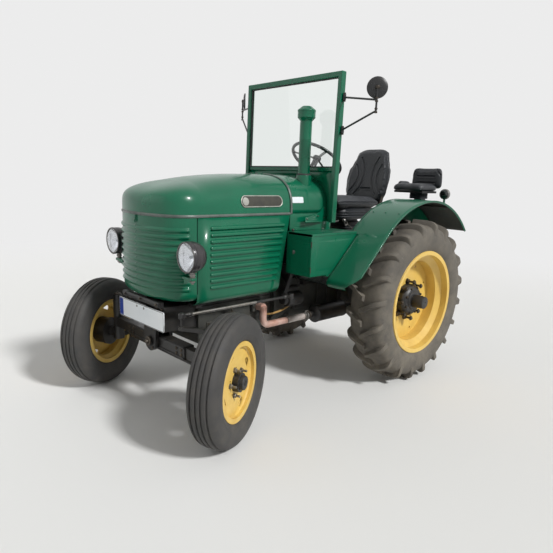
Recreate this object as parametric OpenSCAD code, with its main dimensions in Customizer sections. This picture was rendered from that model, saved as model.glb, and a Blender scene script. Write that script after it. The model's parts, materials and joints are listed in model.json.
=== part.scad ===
// Vintage farm tractor: two-cylinder class, pressed-steel bonnet with ribbed nose, open driver's place
// with a tall windscreen. Millimetres. +Z is up, the tractor faces -Y and its left-hand side is +X.
// Lengths along the tractor (y) are measured from the rear axle line and shifted by rear_y, which puts the
// origin on the ground at the middle of the overall length. Angles are in degrees.

/* [Wheels] */
// Distance from front axle to rear axle
wheelbase = 1740; // [1700:10:1800]
// Distance between the middles of the rear tyres
rear_track = 1330; // [1320:2:1344]
// Distance between the two kingpins
kingpin_span = 1052; // [1040:2:1072]
// Distance from kingpin to the middle of the front tyre
kingpin_offset = 124; // [118:1:130]
// Steering angle at rest, to the left
steer_rest = 26; // [22:1:30]
// Radius of the rear tyre over its lugs
rear_tyre_r = 596; // [590:1:600]
// Width of the rear tyre
rear_tyre_w = 284; // [276:2:288]
// Height of the rear tyre's lugs
lug_h = 30; // [22:1:34]
// Number of lugs on each half of the tread
lug_count = 20; // [16:2:22]
// Radius of the front tyre
front_tyre_r = 370; // [366:1:374]
// Width of the front tyre
front_tyre_w = 170; // [160:2:174]
// Bolt circle diameter of the rear wheel
rear_bolt_circle = 275; // [270:1:284]
// Bolt circle diameter of the front wheel
front_bolt_circle = 152; // [150:1:158]

/* [Bonnet] */
// Half the width of the bonnet
bonnet_half_w = 335; // [325:1:338]
// Height of the seam between bonnet top and lower panels
seam_z = 1232; // [1226:1:1240]
// Height of the bonnet's crest at its rear edge
crest_z = 1472; // [1462:1:1480]
// How far the nose reaches ahead of the front axle
nose_reach = 136; // [130:1:150]
// Radius of the nose's front arc in plan
front_arc_r = 700; // [660:10:760]
// Angle over which the front arc runs, from the middle to a corner arc
corner_a = 19; // [17:0.5:21]
// Rear edge of the bonnet, at the band
band_y = -962; // [-970:1:-950]
// Lower edge of the side panels
skirt_z = 722; // [716:1:740]
// Lower edge of the nose, above the front cross bar
nose_low_z = 748; // [744:1:756]
// Radius with which nose and side panels turn inwards at the bottom
skirt_curl_r = 44; // [36:2:50]
// Thickness of the pressed sheet
sheet = 4; // [3:0.5:5]
// Number of ribs on the nose
rib_count = 10; // [8:1:10]
// Height of the lowest rib on the nose
rib_z = 824; // [820:1:830]
// Step from rib to rib
rib_pitch = 36.7; // [35:0.1:38]
// How far a rib stands out of the nose
rib_out = 9; // [6:0.5:11]
// Radius of a rib's round back
rib_r = 14; // [12:0.5:16]
// Number of louvres in a side panel
louvre_count = 10; // [8:1:10]
// Height of the lowest louvre
louvre_z = 817; // [812:1:822]
// Step from louvre to louvre
louvre_pitch = 38; // [36:0.5:40]
// How far a louvre stands out of the side panel
louvre_out = 11; // [8:0.5:12]
// Radius of a louvre's round back
louvre_r = 16; // [14:0.5:18]

/* [Driver's place] */
// Half the width of the windscreen frame
screen_half_w = 450; // [430:2:460]
// Height of the windscreen's upper edge
screen_top_z = 2120; // [2060:5:2150]
// Backward lean of the windscreen
screen_lean = 1; // [0.5:0.5:3]
// Radius of the steering wheel
steering_wheel_r = 205; // [190:1:215]
// Length of the tool box
toolbox_l = 445; // [420:5:450]
// Height of the tool box
toolbox_h = 270; // [250:5:280]
// Clear radius of the fender above the rear axle
fender_r = 733; // [724:1:745]
// Half the width of the driver's seat cushion
seat_half_w = 235; // [220:1:245]

/* [Front end] */
// Length of the number plate
plate_l = 520; // [500:5:520]
// Radius of a headlamp's glass
lamp_r = 78; // [70:1:84]
// Radius of the kingpins
kingpin_r = 18; // [15:0.5:20]
// Radius of the front stub axles
stub_r = 20; // [17:0.5:22]
// Length of the tie rod arms
tie_arm = 145; // [135:1:150]
// Length of the drop arm from its shaft to its ball
drop_arm = 180; // [176:1:190]

/* [Hitch] */
// Radius of the hole in the drawbar's jaws
hitch_pin_r = 16; // [12:0.5:20]
// Radius of the power take-off stub shaft
pto_r = 17.45; // [14:0.05:17.5]

/* [Hidden] */

run_fit = 0.05;   // radial clearance of a shaft that turns in its bore
seat_gap = 0.3;   // gap between pieces that lie against each other
bonnet_green = [0.02, 0.34, 0.25];
wheel_yellow = [0.87, 0.70, 0.33];
black = [0.07, 0.07, 0.08];
rubber = [0.16, 0.16, 0.16];
dusty_rubber = [0.33, 0.31, 0.28];
iron = [0.22, 0.23, 0.23];
steel = [0.62, 0.62, 0.62];

// Rear wheel, across its own middle plane: x outwards, r from the axle.
rear_bead_r = 356;
rear_flange_r = 378;
rear_flange_x = 122;
rear_well_r = 306;
rim_t = 6;
rear_disc_x = -29;
rear_hub_r = 120;
rear_axle_r = 40;
rear_axle_end_x = 141;
rear_carcass_r = rear_tyre_r - lug_h;
rear_z = rear_tyre_r;
// Front wheel, the same way.
front_bead_r = 203;
front_flange_r = 225;
front_flange_x = 57;
front_well_r = 182;
front_disc_x = 30;
front_hub_r = 54;
front_z = front_tyre_r;

kingpin_x = kingpin_span / 2;
front_y = -wheelbase;
// Half profile of the front tyre: x across, r from the axle.
front_profile = [[57, 203.4], [57, 225.3], [70, 236], [82, 262], [85, 292], [82, 322], [73, 348], [54, 364], [50, 357], [42, 358],
    [38, 368], [22, 370], [18, 362], [10, 362], [7, 370]];
front_scale = [front_tyre_w / 170, 1];
// The right front wheel, steered, reaches furthest forward.
front_reach = kingpin_offset * sin(steer_rest)
    + max([for (p = front_profile) p[1] * cos(steer_rest) + p[0] * front_scale[0] * sin(steer_rest)]);
rear_y = (wheelbase + front_reach - rear_tyre_r) / 2;

// Bonnet in plan: a wide front arc and two corner arcs, tangent to it and to the flat sides. The seam between
// nose and side panels lies where a corner arc ends.
corner_arc_r = (bonnet_half_w - front_arc_r * sin(corner_a)) / (1 - sin(corner_a));
corner_x = bonnet_half_w - corner_arc_r;
nose_y = front_y - nose_reach;
front_arc_y = nose_y + front_arc_r;
nose_seam_y = front_arc_y - (front_arc_r - corner_arc_r) * cos(corner_a);
// Bonnet in section: powers of the round top behind and in the nose, which blend over nose_len.
nose_len = 256;
nose_start_y = nose_y + nose_len;
plan_power = 3;
top_power = 2.9;
nose_power = 5.5;
crest_y = -1000;     // the crest falls forward of here
function crest_drop(y) = let (u = max(0, crest_y - y) / 1000) 100 * u * u + 60 * pow(u, 4);
function crest(y) = crest_z - crest_drop(y);
function nose_part(y, t) = min(1, max(0, nose_start_y - y) / (nose_len - t));
function blend_power(y, t) = top_power + (nose_power - top_power) * nose_part(y, t);
// Half width of the bonnet at y, for an outline moved inwards by t.
function plan_half(y, t) =
    y >= nose_seam_y ? bonnet_half_w - t :
    y >= nose_seam_y - (corner_arc_r - t) * cos(corner_a)
        ? corner_x + sqrt(pow(corner_arc_r - t, 2) - pow(y - nose_seam_y, 2))
        : sqrt(max(0, pow(front_arc_r - t, 2) - pow(y - front_arc_y, 2)));

// Front axle and steering, in heights above ground.
beam_z = 455;
beam_h = 80;
beam_d = 66;
boss_r = 32;
boss_top_z = 600;
boss_bottom_z = 416;
knuckle_r = 38;
tie_z = 345;
steer_arm_z = 640;
link_z = 700;
link_r = 9;
ball_r = 19;
drop_shaft_y = -900;
drop_plane_x = bonnet_half_w - 11;
// Straight ahead, the drag link lies 37 outside the drop arm.
steer_arm = [drop_plane_x + 37 - kingpin_x, -15];
// The straight-ahead ball is at front_y + steer_arm.y, and there the drop arm hangs straight down.
link_len = drop_shaft_y - (front_y + steer_arm[1]);
function turned(v, a) = [v[0] * cos(a) - v[1] * sin(a), v[0] * sin(a) + v[1] * cos(a)];
link_front = [kingpin_x, front_y] + turned(steer_arm, steer_rest);
link_rear_y = link_front[1] + link_len;
drop_rest = asin((link_rear_y - drop_shaft_y) / drop_arm);
drop_shaft_z = link_z + drop_arm * cos(drop_rest);

// Windscreen foot line and steering column.
screen_foot = [-659, 1172];
glass_low_z = 1530;
column_angle = 35;
wheel_hub = [0, -360, 1595];

// Tool box, from its inner lower rear corner.
toolbox_in_x = bonnet_half_w + seat_gap;
door_in_x = bonnet_half_w + louvre_out + 0.5;   // the door's swing passes the louvres
toolbox_out_x = rear_track / 2 - 113;
toolbox_rear_y = -535;
toolbox_z = 850;
box_wall = 3;
door_gap = 0.5;

// Cowl: half width and height of the section at the band and at its rear edge.
cowl_rear_y = -640;
cowl_rear_half = 374;
cowl_flare_y = -680;

module from_axle() translate([0, rear_y, 0]) children();
module both_sides() { children(); mirror([1, 0, 0]) children(); }
module along_x(x) translate([x, 0, 0]) rotate([0, 90, 0]) children();
module along_y(y) translate([0, y, 0]) rotate([-90, 0, 0]) children();

// A round bar from a to b.
module bar(a, b, r, fn = 24) {
    d = b - a;
    translate(a) rotate([0, acos(d[2] / norm(d)), atan2(d[1], d[0])]) cylinder(h = norm(d), r = r, $fn = fn);
}

// A box with rounded vertical edges.
module slab(size, r, fn = 24) {
    linear_extrude(size[2]) translate([r, r]) offset(r = r, $fn = fn) square([size[0] - 2 * r, size[1] - 2 * r]);
}

// Solid skinned over rows of points; every row has the same count and the ends are closed.
module skin(rows) {
    n = len(rows[0]);
    k = len(rows);
    points = [for (row = rows) for (p = row) p];
    sides = [for (i = [0:k - 2]) for (j = [0:n - 1]) let (a = i * n + j, b = i * n + (j + 1) % n)
        each [[a, b, a + n], [b, b + n, a + n]]];
    ends = [[for (j = [n - 1:-1:0]) j], [for (j = [0:n - 1]) (k - 1) * n + j]];
    polyhedron(points, concat(sides, ends), convexity = 6);
}

// Places a front wheel or knuckle: side 1 is left, -1 is right. Local x points outwards from the kingpin.
module at_kingpin(side) {
    from_axle() translate([side * kingpin_x, front_y, 0]) rotate([0, 0, steer_rest + (side > 0 ? 0 : 180)]) children();
}
module at_front_wheel(side) at_kingpin(side) translate([kingpin_offset, 0, front_z]) children();
module at_rear_wheel(side) {
    from_axle() translate([side * rear_track / 2, 0, rear_z]) rotate([0, 0, side > 0 ? 0 : 180]) children();
}

// A ring turned about the local x axis from [x, r] points.
module turned_ring(points, fn) {
    rotate([0, 90, 0]) rotate([0, 0, 90]) rotate_extrude($fn = fn) polygon([for (p = points) [p[1], p[0]]]);
}
function mirrored(half) = concat(half, [for (i = [len(half) - 1:-1:0]) [-half[i][0], half[i][1]]]);

// Front wheels

module front_tyre(side) {
    color(rubber) at_front_wheel(side)
        turned_ring(mirrored([for (p = front_profile) [p[0] < front_flange_x + 1 ? p[0] - seat_gap : p[0] * front_scale[0], p[1]]]), 36);
}

module front_rim(side) {
    x = front_flange_x;
    lip = 5;
    rim = [[x + 6, front_flange_r], [x, front_flange_r], [x, front_bead_r], [x - 18, front_bead_r], [24, front_well_r],
        [-24, front_well_r], [18 - x, front_bead_r], [-x, front_bead_r], [-x, front_flange_r], [-x - 6, front_flange_r],
        [-x - 6, front_flange_r - lip], [-x - lip, front_bead_r - lip], [14 - x, front_bead_r - lip],
        [-22, front_well_r - lip], [22, front_well_r - lip], [x - 14, front_bead_r - lip], [x + lip, front_bead_r - lip],
        [x + 6, front_flange_r - lip]];
    color(wheel_yellow) at_front_wheel(side) difference() {
        union() {
            turned_ring(rim, 48);
            along_x(front_disc_x) cylinder(h = rim_t, r = front_well_r + 8, $fn = 48);
        }
        along_x(front_disc_x - 1) cylinder(h = rim_t + 2, r = front_hub_r + seat_gap, $fn = 48);
        for (i = [0:4]) rotate([i * 72, 0, 0]) {
            translate([0, 0, front_bolt_circle / 2]) along_x(front_disc_x - 1) cylinder(h = rim_t + 2, r = 8, $fn = 16);
        }
        // Hand holes in the disc, beside the rim.
        for (i = [0:3]) rotate([i * 90 + 25, 0, 0]) translate([front_disc_x - 1, 0, 152]) rotate([0, 90, 0])
            linear_extrude(rim_t + 2) intersection() {
                circle(r = 30, $fn = 32);
                translate([-40, -40]) square([46, 80]);
            }
    }
}

module front_hub(side) {
    color(black) at_front_wheel(side) difference() {
        union() {
            along_x(-62) cylinder(h = 26, r = 94, $fn = 48);
            along_x(-36) cylinder(h = front_disc_x + 36 - seat_gap, r = 90, $fn = 48);
            along_x(front_disc_x - 1) cylinder(h = 41, r = front_hub_r, $fn = 48);
            along_x(front_disc_x + 39) cylinder(h = 22, r1 = 40, r2 = 32, $fn = 48);
        }
        along_x(-63) cylinder(h = 63 + 60, r = stub_r + run_fit, $fn = 48);
    }
}

// Rear wheels

// Half profile of the carcass, without lugs.
rear_profile = [[rear_flange_x - seat_gap, rear_bead_r + 0.6], [rear_flange_x - seat_gap, rear_flange_r + seat_gap],
    [134, 400], [142, 445], [140, 485], [131, 520], [112, rear_carcass_r - 22], [60, rear_carcass_r - 4],
    [0, rear_carcass_r]];

// Footprint of one lug in the tread: x across, t along the tread.
lug_footprint = [[-9, -17], [4, -21], [62, 22], [139, 52], [139, 92], [122, 90], [50, 57], [-9, 16]];

module rear_tyre(side) {
    pitch = 360 / lug_count;
    scale_x = rear_tyre_w / 284;
    half = [for (p = rear_profile) [p[0] < rear_flange_x ? p[0] : p[0] * scale_x, p[1]]];
    carcass = concat([for (i = [0:len(half) - 1]) half[i]], [for (i = [len(half) - 2:-1:0]) [-half[i][0], half[i][1]]]);
    crown = [[-140, 470], [140, 470], [141, 545], [134, 572], [100, 590], [42, rear_tyre_r], [-42, rear_tyre_r],
        [-100, 590], [-134, 572], [-141, 545]];
    color(dusty_rubber) at_rear_wheel(side) union() {
        turned_ring(carcass, 40);
        intersection() {
            turned_ring([for (p = crown) [p[0] * scale_x, p[1]]], 80);
            for (i = [0:lug_count - 1]) for (half_side = [0, 1])
                rotate([180 - (i + half_side / 2) * pitch, 0, 0]) mirror([half_side, 0, 0])
                    scale([1, side, 1]) translate([0, 0, 500]) linear_extrude(rear_tyre_r - 490) polygon([for (p = lug_footprint) [p[0] * scale_x, p[1]]]);
        }
    }
}

module rear_rim(side) {
    x = rear_flange_x;
    rim = [[x + 8, rear_flange_r], [x, rear_flange_r], [x, rear_bead_r], [78, rear_bead_r - 4], [50, rear_well_r],
        [-50, rear_well_r], [-78, rear_bead_r - 4], [-x, rear_bead_r], [-x, rear_flange_r], [-x - 8, rear_flange_r],
        [-x - 8, rear_flange_r - rim_t], [-x - rim_t, rear_bead_r - rim_t], [-82, rear_bead_r - rim_t - 4],
        [-54, rear_well_r - rim_t], [54, rear_well_r - rim_t], [82, rear_bead_r - rim_t - 4],
        [x + rim_t, rear_bead_r - rim_t], [x + 8, rear_flange_r - rim_t]];
    color(wheel_yellow) at_rear_wheel(side) difference() {
        union() {
            turned_ring(rim, 60);
            along_x(rear_disc_x) cylinder(h = 9, r = rear_well_r - 1, $fn = 60);
        }
        along_x(rear_disc_x - 1) cylinder(h = 11, r = rear_hub_r + seat_gap, $fn = 60);
        for (i = [0:7]) rotate([i * 45, 0, 0]) {
            translate([0, 0, rear_bolt_circle / 2]) along_x(rear_disc_x - 1) cylinder(h = 11, r = 11, $fn = 20);
            rotate([22.5, 0, 0]) translate([0, 0, 258]) along_x(rear_disc_x - 1) cylinder(h = 11, r = 9, $fn = 20);
        }
    }
}

module rear_hub(side) {
    color(black) at_rear_wheel(side) {
        along_x(-160) cylinder(h = 100, r = rear_axle_r, $fn = 48);
        along_x(-61) cylinder(h = 61 + rear_disc_x - seat_gap, r = 168, $fn = 60);
        along_x(rear_disc_x - 1) cylinder(h = 50, r = rear_hub_r, $fn = 60);
        along_x(20) cylinder(h = 30, r1 = rear_hub_r, r2 = 84, $fn = 60);
        along_x(49) cylinder(h = rear_axle_end_x - 49, r = 44, $fn = 48);
    }
}

module front_tyre_left() front_tyre(1);
module front_tyre_right() front_tyre(-1);
module front_rim_left() front_rim(1);
module front_rim_right() front_rim(-1);
module front_hub_left() front_hub(1);
module front_hub_right() front_hub(-1);
module rear_tyre_left() rear_tyre(1);
module rear_tyre_right() rear_tyre(-1);
module rear_rim_left() rear_rim(1);
module rear_rim_right() rear_rim(-1);
module rear_hub_left() rear_hub(1);
module rear_hub_right() rear_hub(-1);

// Backbone

engine_front_y = front_y + 180;
engine_rear_y = -960;
engine_half_w = 170;
gear_half_w = 150;
gear_top_z = 800;
trumpet_end_x = rear_track / 2 - 70;

module engine_block() {
    color(iron) from_axle() translate([-engine_half_w, engine_front_y, 430])
        cube([2 * engine_half_w, engine_rear_y - engine_front_y, 720]);
}

module clutch_bell(grow) {
    translate([0, engine_rear_y + seat_gap, 610]) along_y(0) cylinder(h = 200, r1 = 205 + grow, r2 = 170 + grow, $fn = 48);
}

module transmission() {
    pto_y = 330;
    color(iron) from_axle() difference() {
        union() {
            // Clutch bell, narrowing to the gearbox.
            clutch_bell(0);
            translate([-gear_half_w, -765, 430]) cube([2 * gear_half_w, 600, gear_top_z - 430]);
            translate([-190, -200, 400]) cube([380, 400, 440]);
            // Axle trumpets.
            for (s = [-1, 1]) translate([0, 0, rear_z]) {
                mirror([s < 0 ? 1 : 0, 0, 0]) {
                    along_x(150) cylinder(h = 80, r1 = 150, r2 = 95, $fn = 48);
                    along_x(229) cylinder(h = trumpet_end_x - 30 - 229, r1 = 95, r2 = 70, $fn = 48);
                    along_x(trumpet_end_x - 31) cylinder(h = 31, r = 105, $fn = 48);
                }
            }
            translate([0, 199, 620]) along_y(0) cylinder(h = 60, r = 95, $fn = 48);
            translate([0, 199, 620]) along_y(0) cylinder(h = pto_y - 199, r = pto_r, $fn = 48);
        }
        for (s = [0, 1]) mirror([s, 0, 0]) translate([0, 0, rear_z])
            along_x(trumpet_end_x - 102) cylinder(h = 103, r = rear_axle_r + run_fit, $fn = 48);
    }
}

// Front support: casting under the nose with the axle's pivot ears and the bar below the grille.
module front_support() {
    ear_gap = beam_d / 2 + 4;
    color(black) from_axle() {
        difference() {
            union() {
                translate([-150, front_y - 60, 540]) cube([300, engine_front_y - front_y + 60 - seat_gap, 150]);
                translate([-235, front_y - 95, 688]) cube([470, 270, 26]);
                for (y = [front_y - ear_gap - 24, front_y + ear_gap])
                    translate([0, y, 0]) hull() {
                        translate([0, 0, beam_z]) along_y(0) cylinder(h = 24, r = 62, $fn = 32);
                        translate([-70, 0, 560]) cube([140, 24, 10]);
                    }
            }
            translate([0, 0, beam_z]) along_y(front_y - 80) cylinder(h = 160, r = 20 + run_fit, $fn = 32);
        }
        // Cross bar below the grille, and the bracket that carries the number plate.
        translate([-215, nose_y + 18, 712]) cube([430, 24, 30]);
        translate([-60, nose_y + 18 + seat_gap, 640]) cube([120, 60, 60]);
        // Rests of the nose and of the side panels.
        translate([-40, nose_y + skirt_curl_r - 8, 712]) cube([80, 26, nose_low_z - seat_gap - 712]);
        for (s = [0, 1]) mirror([s, 0, 0])
            translate([200, round(nose_seam_y) + 18, 700])
                cube([bonnet_half_w - skirt_curl_r + 8 - 200, 40, skirt_z - seat_gap - 700]);
    }
}

module front_axle() {
    color(black) from_axle() {
        difference() {
            union() {
                translate([-330, front_y - beam_d / 2, beam_z - beam_h / 2]) cube([660, beam_d, beam_h]);
                translate([0, 0, beam_z]) along_y(front_y - beam_d / 2) cylinder(h = beam_d, r = 52, $fn = 48);
                both_sides() {
                    translate([329, front_y - beam_d / 2 + 8, beam_z - beam_h / 2 + 8])
                        cube([kingpin_x - 329, beam_d - 16, beam_h - 16]);
                    translate([kingpin_x, front_y, boss_bottom_z]) cylinder(h = boss_top_z - boss_bottom_z, r = boss_r, $fn = 48);
                }
            }
            both_sides() translate([kingpin_x, front_y, boss_bottom_z - 1])
                cylinder(h = boss_top_z - boss_bottom_z + 2, r = kingpin_r + run_fit, $fn = 48);
        }
        // Pivot pin through the ears.
        translate([0, 0, beam_z]) along_y(front_y - 72) cylinder(h = 144, r = 20, $fn = 32);
    }
}

// Knuckle: kingpin in the axle's boss, block and stub axle below, arms for tie rod and drag link.
module knuckle(side) {
    color(black) at_kingpin(side) {
        translate([0, 0, 330]) cylinder(h = boss_bottom_z - 330 - seat_gap, r = knuckle_r, $fn = 48);
        translate([0, 0, 400]) cylinder(h = steer_arm_z - 400, r = kingpin_r, $fn = 48);
        // Stub axle.
        translate([0, 0, front_z]) along_x(20) cylinder(h = kingpin_offset - 64 - 20, r = 34, $fn = 48);
        translate([0, 0, front_z]) along_x(20) cylinder(h = kingpin_offset + 30, r = stub_r, $fn = 48);
    }
    color(black) from_axle() translate([side * kingpin_x, front_y, 0]) rotate([0, 0, steer_rest]) {
        // Tie rod arm, straight back from the block.
        difference() {
            union() {
                translate([-17, 20, tie_z - 13]) cube([34, tie_arm - 20, 22]);
                translate([0, tie_arm, tie_z - 13]) cylinder(h = 22, r = 20, $fn = 32);
            }
            translate([0, tie_arm, tie_z - 14]) cylinder(h = 24, r = 8 + run_fit, $fn = 32);
        }
        translate([0, 0, boss_top_z + seat_gap]) cylinder(h = steer_arm_z - boss_top_z, r = 30, $fn = 32);
    }
}

module knuckle_left() {
    knuckle(1);
    a = steer_arm;
    color(black) from_axle() translate([kingpin_x, front_y, 0]) rotate([0, 0, steer_rest]) {
        // Steering arm, inwards from the top of the kingpin, with the stud of the drag link's ball.
        rotate([0, 0, atan2(a[1], a[0])]) translate([0, -16, steer_arm_z - 22]) cube([norm(a), 32, 20]);
        translate([a[0], a[1], steer_arm_z - 22]) cylinder(h = 20, r = 18, $fn = 32);
        translate([a[0], a[1], steer_arm_z - 4]) cylinder(h = link_z - ball_r - seat_gap - steer_arm_z + 4, r = 8, $fn = 32);
    }
}
module knuckle_right() knuckle(-1);

module tie_rod() {
    arm = turned([0, tie_arm], steer_rest);
    color(black) from_axle() translate([arm[0], front_y + arm[1], tie_z - 32]) {
        rotate([0, 90, 0]) translate([0, 0, -kingpin_x]) cylinder(h = 2 * kingpin_x, r = 13, $fn = 32);
        for (s = [-1, 1]) translate([s * kingpin_x, 0, 0]) {
            sphere(r = 17, $fn = 32);
            cylinder(h = 60, r = 8, $fn = 32);
        }
    }
}

// Drag link: ball ends joined by a long rod.
module drag_link() {
    color(steel) from_axle() translate([link_front[0], 0, link_z]) {
        bar([0, link_front[1], 0], [0, link_rear_y, 0], link_r);
        for (y = [link_front[1], link_rear_y]) translate([0, y, -ball_r]) cylinder(h = 2 * ball_r, r = ball_r, $fn = 32);
    }
}

module drop_arm() {
    color(black) from_axle() translate([drop_plane_x, drop_shaft_y, drop_shaft_z]) rotate([drop_rest, 0, 0]) {
        along_x(-78) cylinder(h = 78, r = 16, $fn = 32);
        along_x(-6) cylinder(h = 12, r = 28, $fn = 32);
        translate([-6, -15, -drop_arm]) cube([12, 30, drop_arm]);
        translate([0, 0, -drop_arm]) along_x(-6) cylinder(h = 12, r = 21, $fn = 32);
        translate([0, 0, -drop_arm]) along_x(0) cylinder(h = 12, r = 10, $fn = 32);
    }
}

column_r = 24;
module column_line(r) {
    top = [wheel_hub[1] - 60 * sin(column_angle), wheel_hub[2] - 60 * cos(column_angle)];
    s = (top[1] - drop_shaft_z - 30) / cos(column_angle);
    bar([0, top[0] - s * sin(column_angle), top[1] - s * cos(column_angle)], [0, top[0], top[1]], r);
}

module steering_column() {
    top = [wheel_hub[1] - 60 * sin(column_angle), wheel_hub[2] - 60 * cos(column_angle)];
    s = (top[1] - drop_shaft_z - 30) / cos(column_angle);
    low = [top[0] - s * sin(column_angle), top[1] - s * cos(column_angle)];
    color(black) from_axle() difference() {
        union() {
            column_line(column_r);
            translate([-40, low[0] - 70, drop_shaft_z - 50]) cube([140, 130, 100]);
            translate([99, drop_shaft_y - 32, drop_shaft_z - 32]) cube([drop_plane_x - 8 - 99, 64, 64]);
            // Foot of the steering box on the clutch housing.
            difference() {
                translate([-40, low[0] - 60, 760]) cube([90, 110, drop_shaft_z - 50 - 760 + 1]);
                clutch_bell(seat_gap);
            }
        }
        translate([0, drop_shaft_y, drop_shaft_z]) along_x(drop_plane_x - 80) cylinder(h = 90, r = 16 + run_fit, $fn = 32);
        translate([0, wheel_hub[1], wheel_hub[2]]) rotate([-column_angle, 0, 0]) translate([0, 0, -150])
            cylinder(h = 100, r = 11 + run_fit, $fn = 32);
    }
}

module steering_wheel() {
    color(black) from_axle() translate(wheel_hub) rotate([-column_angle, 0, 0]) {
        rotate_extrude($fn = 64) translate([steering_wheel_r - 12, 0]) circle(r = 12, $fn = 16);
        cylinder(h = 26, r = 32, $fn = 32);
        translate([0, 0, -58]) cylinder(h = 60, r = 22, $fn = 32);
        translate([0, 0, -145]) cylinder(h = 100, r = 11, $fn = 32);
        for (i = [0:2]) rotate([0, 0, 90 + i * 120])
            bar([20, 0, 8], [steering_wheel_r - 14, 0, 0], 6, 16);
    }
}

// Bonnet

// One section of the bonnet top at y, from the right-hand edge over the crest to the left. The surface lies
// t inside the outer one.
function top_section(y, t) =
    let (w = plan_half(y, t), p = blend_power(y, t), nose = pow(nose_part(y, t), plan_power), n = 24)
    [for (i = [0:n]) let (u = sin(-90 + 180 * i / n), q = pow(pow(abs(u), plan_power) * (1 - nose) + nose, 1 / plan_power))
        [w * u, y, seam_z + (crest(y) - t - seam_z) * pow(max(0, 1 - pow(nose > 0 ? q : abs(u), p)), 1 / p)]];

// Solid under the surface of the bonnet top, t inside the outer one, from y = rear forwards and down to base.
module bonnet_top(t, base, rear) {
    stations = concat([for (k = [0, 0.21, 0.43, 0.65, 0.82, 0.92]) rear + (nose_seam_y - rear) * k],
        [for (a = [0, 16, 32, 46, 58]) nose_seam_y - (corner_arc_r - t) * sin(a)],
        [for (k = [1, 0.8, 0.6, 0.42, 0.26, 0.12]) front_arc_y - (front_arc_r - t) * cos(corner_a * k)]);
    skin([for (y = stations) let (row = top_section(y, t), x = row[len(row) - 1][0])
        concat([[-x, y, base]], [for (p = row) [p[0], p[1], max(p[2], base + 1)]], [[x, y, base]])]);
}

module bonnet_lid() {
    color(bonnet_green) from_axle() difference() {
        union() {
            bonnet_top(0, seam_z - 1, band_y - 4);
            for (x = [-60, 20]) hinge_barrel(x + seat_gap / 2, 40 - seat_gap, 6);
        }
        bonnet_top(sheet, seam_z - 4, band_y + 10);
        hinge_barrel(-20 - seat_gap / 2, 40 + seat_gap, 7);
    }
}

// Barrel of the bonnet's hinge, from x along its line.
lid_hinge = [band_y - 1.5, crest_z + 3];
module hinge_barrel(x, len, r) {
    translate([x, lid_hinge[0], lid_hinge[1]]) rotate([0, 90, 0]) cylinder(h = len, r = r, $fn = 24);
}

// Wall of the nose and side panels in section: x is measured outwards from the outline, y is the height.
module skirt_section(low_z) {
    translate([-sheet, low_z + skirt_curl_r]) square([sheet, seam_z - 1 - seat_gap - low_z - skirt_curl_r]);
    translate([-skirt_curl_r, low_z + skirt_curl_r]) intersection() {
        difference() {
            circle(r = skirt_curl_r, $fn = 48);
            circle(r = skirt_curl_r - sheet, $fn = 48);
        }
        translate([0, -skirt_curl_r]) square(skirt_curl_r);
    }
}

module ribbed_section() {
    skirt_section(nose_low_z);
    intersection() {
        for (i = [0:rib_count - 1]) translate([rib_out - rib_r, rib_z + i * rib_pitch]) circle(r = rib_r, $fn = 32);
        translate([-sheet, 0]) square([100, seam_z]);
    }
}

// Sweeps a section along an arc of the plan, from angle a over span.
module along_arc(centre, r, a, span) {
    translate(centre) rotate_extrude(angle = span, start = a, $fn = 96) translate([r, 0]) children();
}

rib_end_a = 15;   // the ribs end this far before the seam, on the corner arcs

module nose_shell() {
    lap_a = 1;      // the corner pieces lap into the front piece, set back by a little
    set_back = 0.2;
    color(bonnet_green) from_axle() {
        along_arc([0, front_arc_y], front_arc_r, 270 - corner_a, 2 * corner_a) ribbed_section();
        both_sides() {
            centre = [corner_x, nose_seam_y];
            along_arc(centre, corner_arc_r - set_back, 270 + corner_a - lap_a, 90 - corner_a - rib_end_a + lap_a)
                ribbed_section();
            along_arc(centre, corner_arc_r, 360 - rib_end_a - lap_a, rib_end_a + lap_a) skirt_section(nose_low_z);
            // Round ends of the ribs.
            translate(centre) difference() {
                for (i = [0:rib_count - 1]) rotate([0, 0, -rib_end_a])
                    translate([corner_arc_r + rib_out - rib_r, 0, rib_z + i * rib_pitch])
                        sphere(r = rib_r - 2 * set_back, $fn = 32);
                translate([0, 0, rib_z - 50]) cylinder(h = seam_z - rib_z + 50, r = corner_arc_r - sheet / 2, $fn = 96);
            }
        }
    }
}

// Plan of the nose with its ribs left out, moved outwards by out, for what stands on its outside.
module nose_plan(out) {
    intersection() {
        translate([0, front_arc_y]) circle(r = front_arc_r + out, $fn = 96);
        polygon([[0, front_arc_y], front_arc_y * [0, 1] + 2 * front_arc_r * [-sin(corner_a), -cos(corner_a)],
            front_arc_y * [0, 1] + 2 * front_arc_r * [sin(corner_a), -cos(corner_a)]]);
    }
    both_sides() translate([corner_x, nose_seam_y]) circle(r = corner_arc_r + out, $fn = 96);
}

panel_low_y = -1046;          // rear end of the side panel's lower edge
panel_top_y = band_y + 1 - seat_gap;
louvre_front_y = round(nose_seam_y + 102);
louvre_t = 3;
louvre_edge = 44;             // distance from a louvre's end to the panel's slanted rear edge
function panel_rear_y(z) = panel_top_y + (panel_low_y - panel_top_y) * (seam_z - z) / (seam_z - skirt_z);

// Louvre in section: x is measured outwards from the panel, y is the height. Its open side is down.
module louvre_section(inner_r) {
    intersection() {
        translate([louvre_out - louvre_r, 0]) difference() {
            circle(r = louvre_r, $fn = 48);
            circle(r = inner_r, $fn = 48);
        }
        square(50);
    }
}

// Hood over the left panel, closed by a wall at each end.
module louvre(z) {
    rear = round(panel_rear_y(z) - louvre_edge);
    translate([bonnet_half_w, rear, z]) rotate([90, 0, 0]) {
        linear_extrude(rear - louvre_front_y) louvre_section(louvre_r - louvre_t);
        for (y = [0, rear - louvre_front_y - louvre_t]) translate([0, 0, y]) linear_extrude(louvre_t) louvre_section(5);
    }
}

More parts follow.
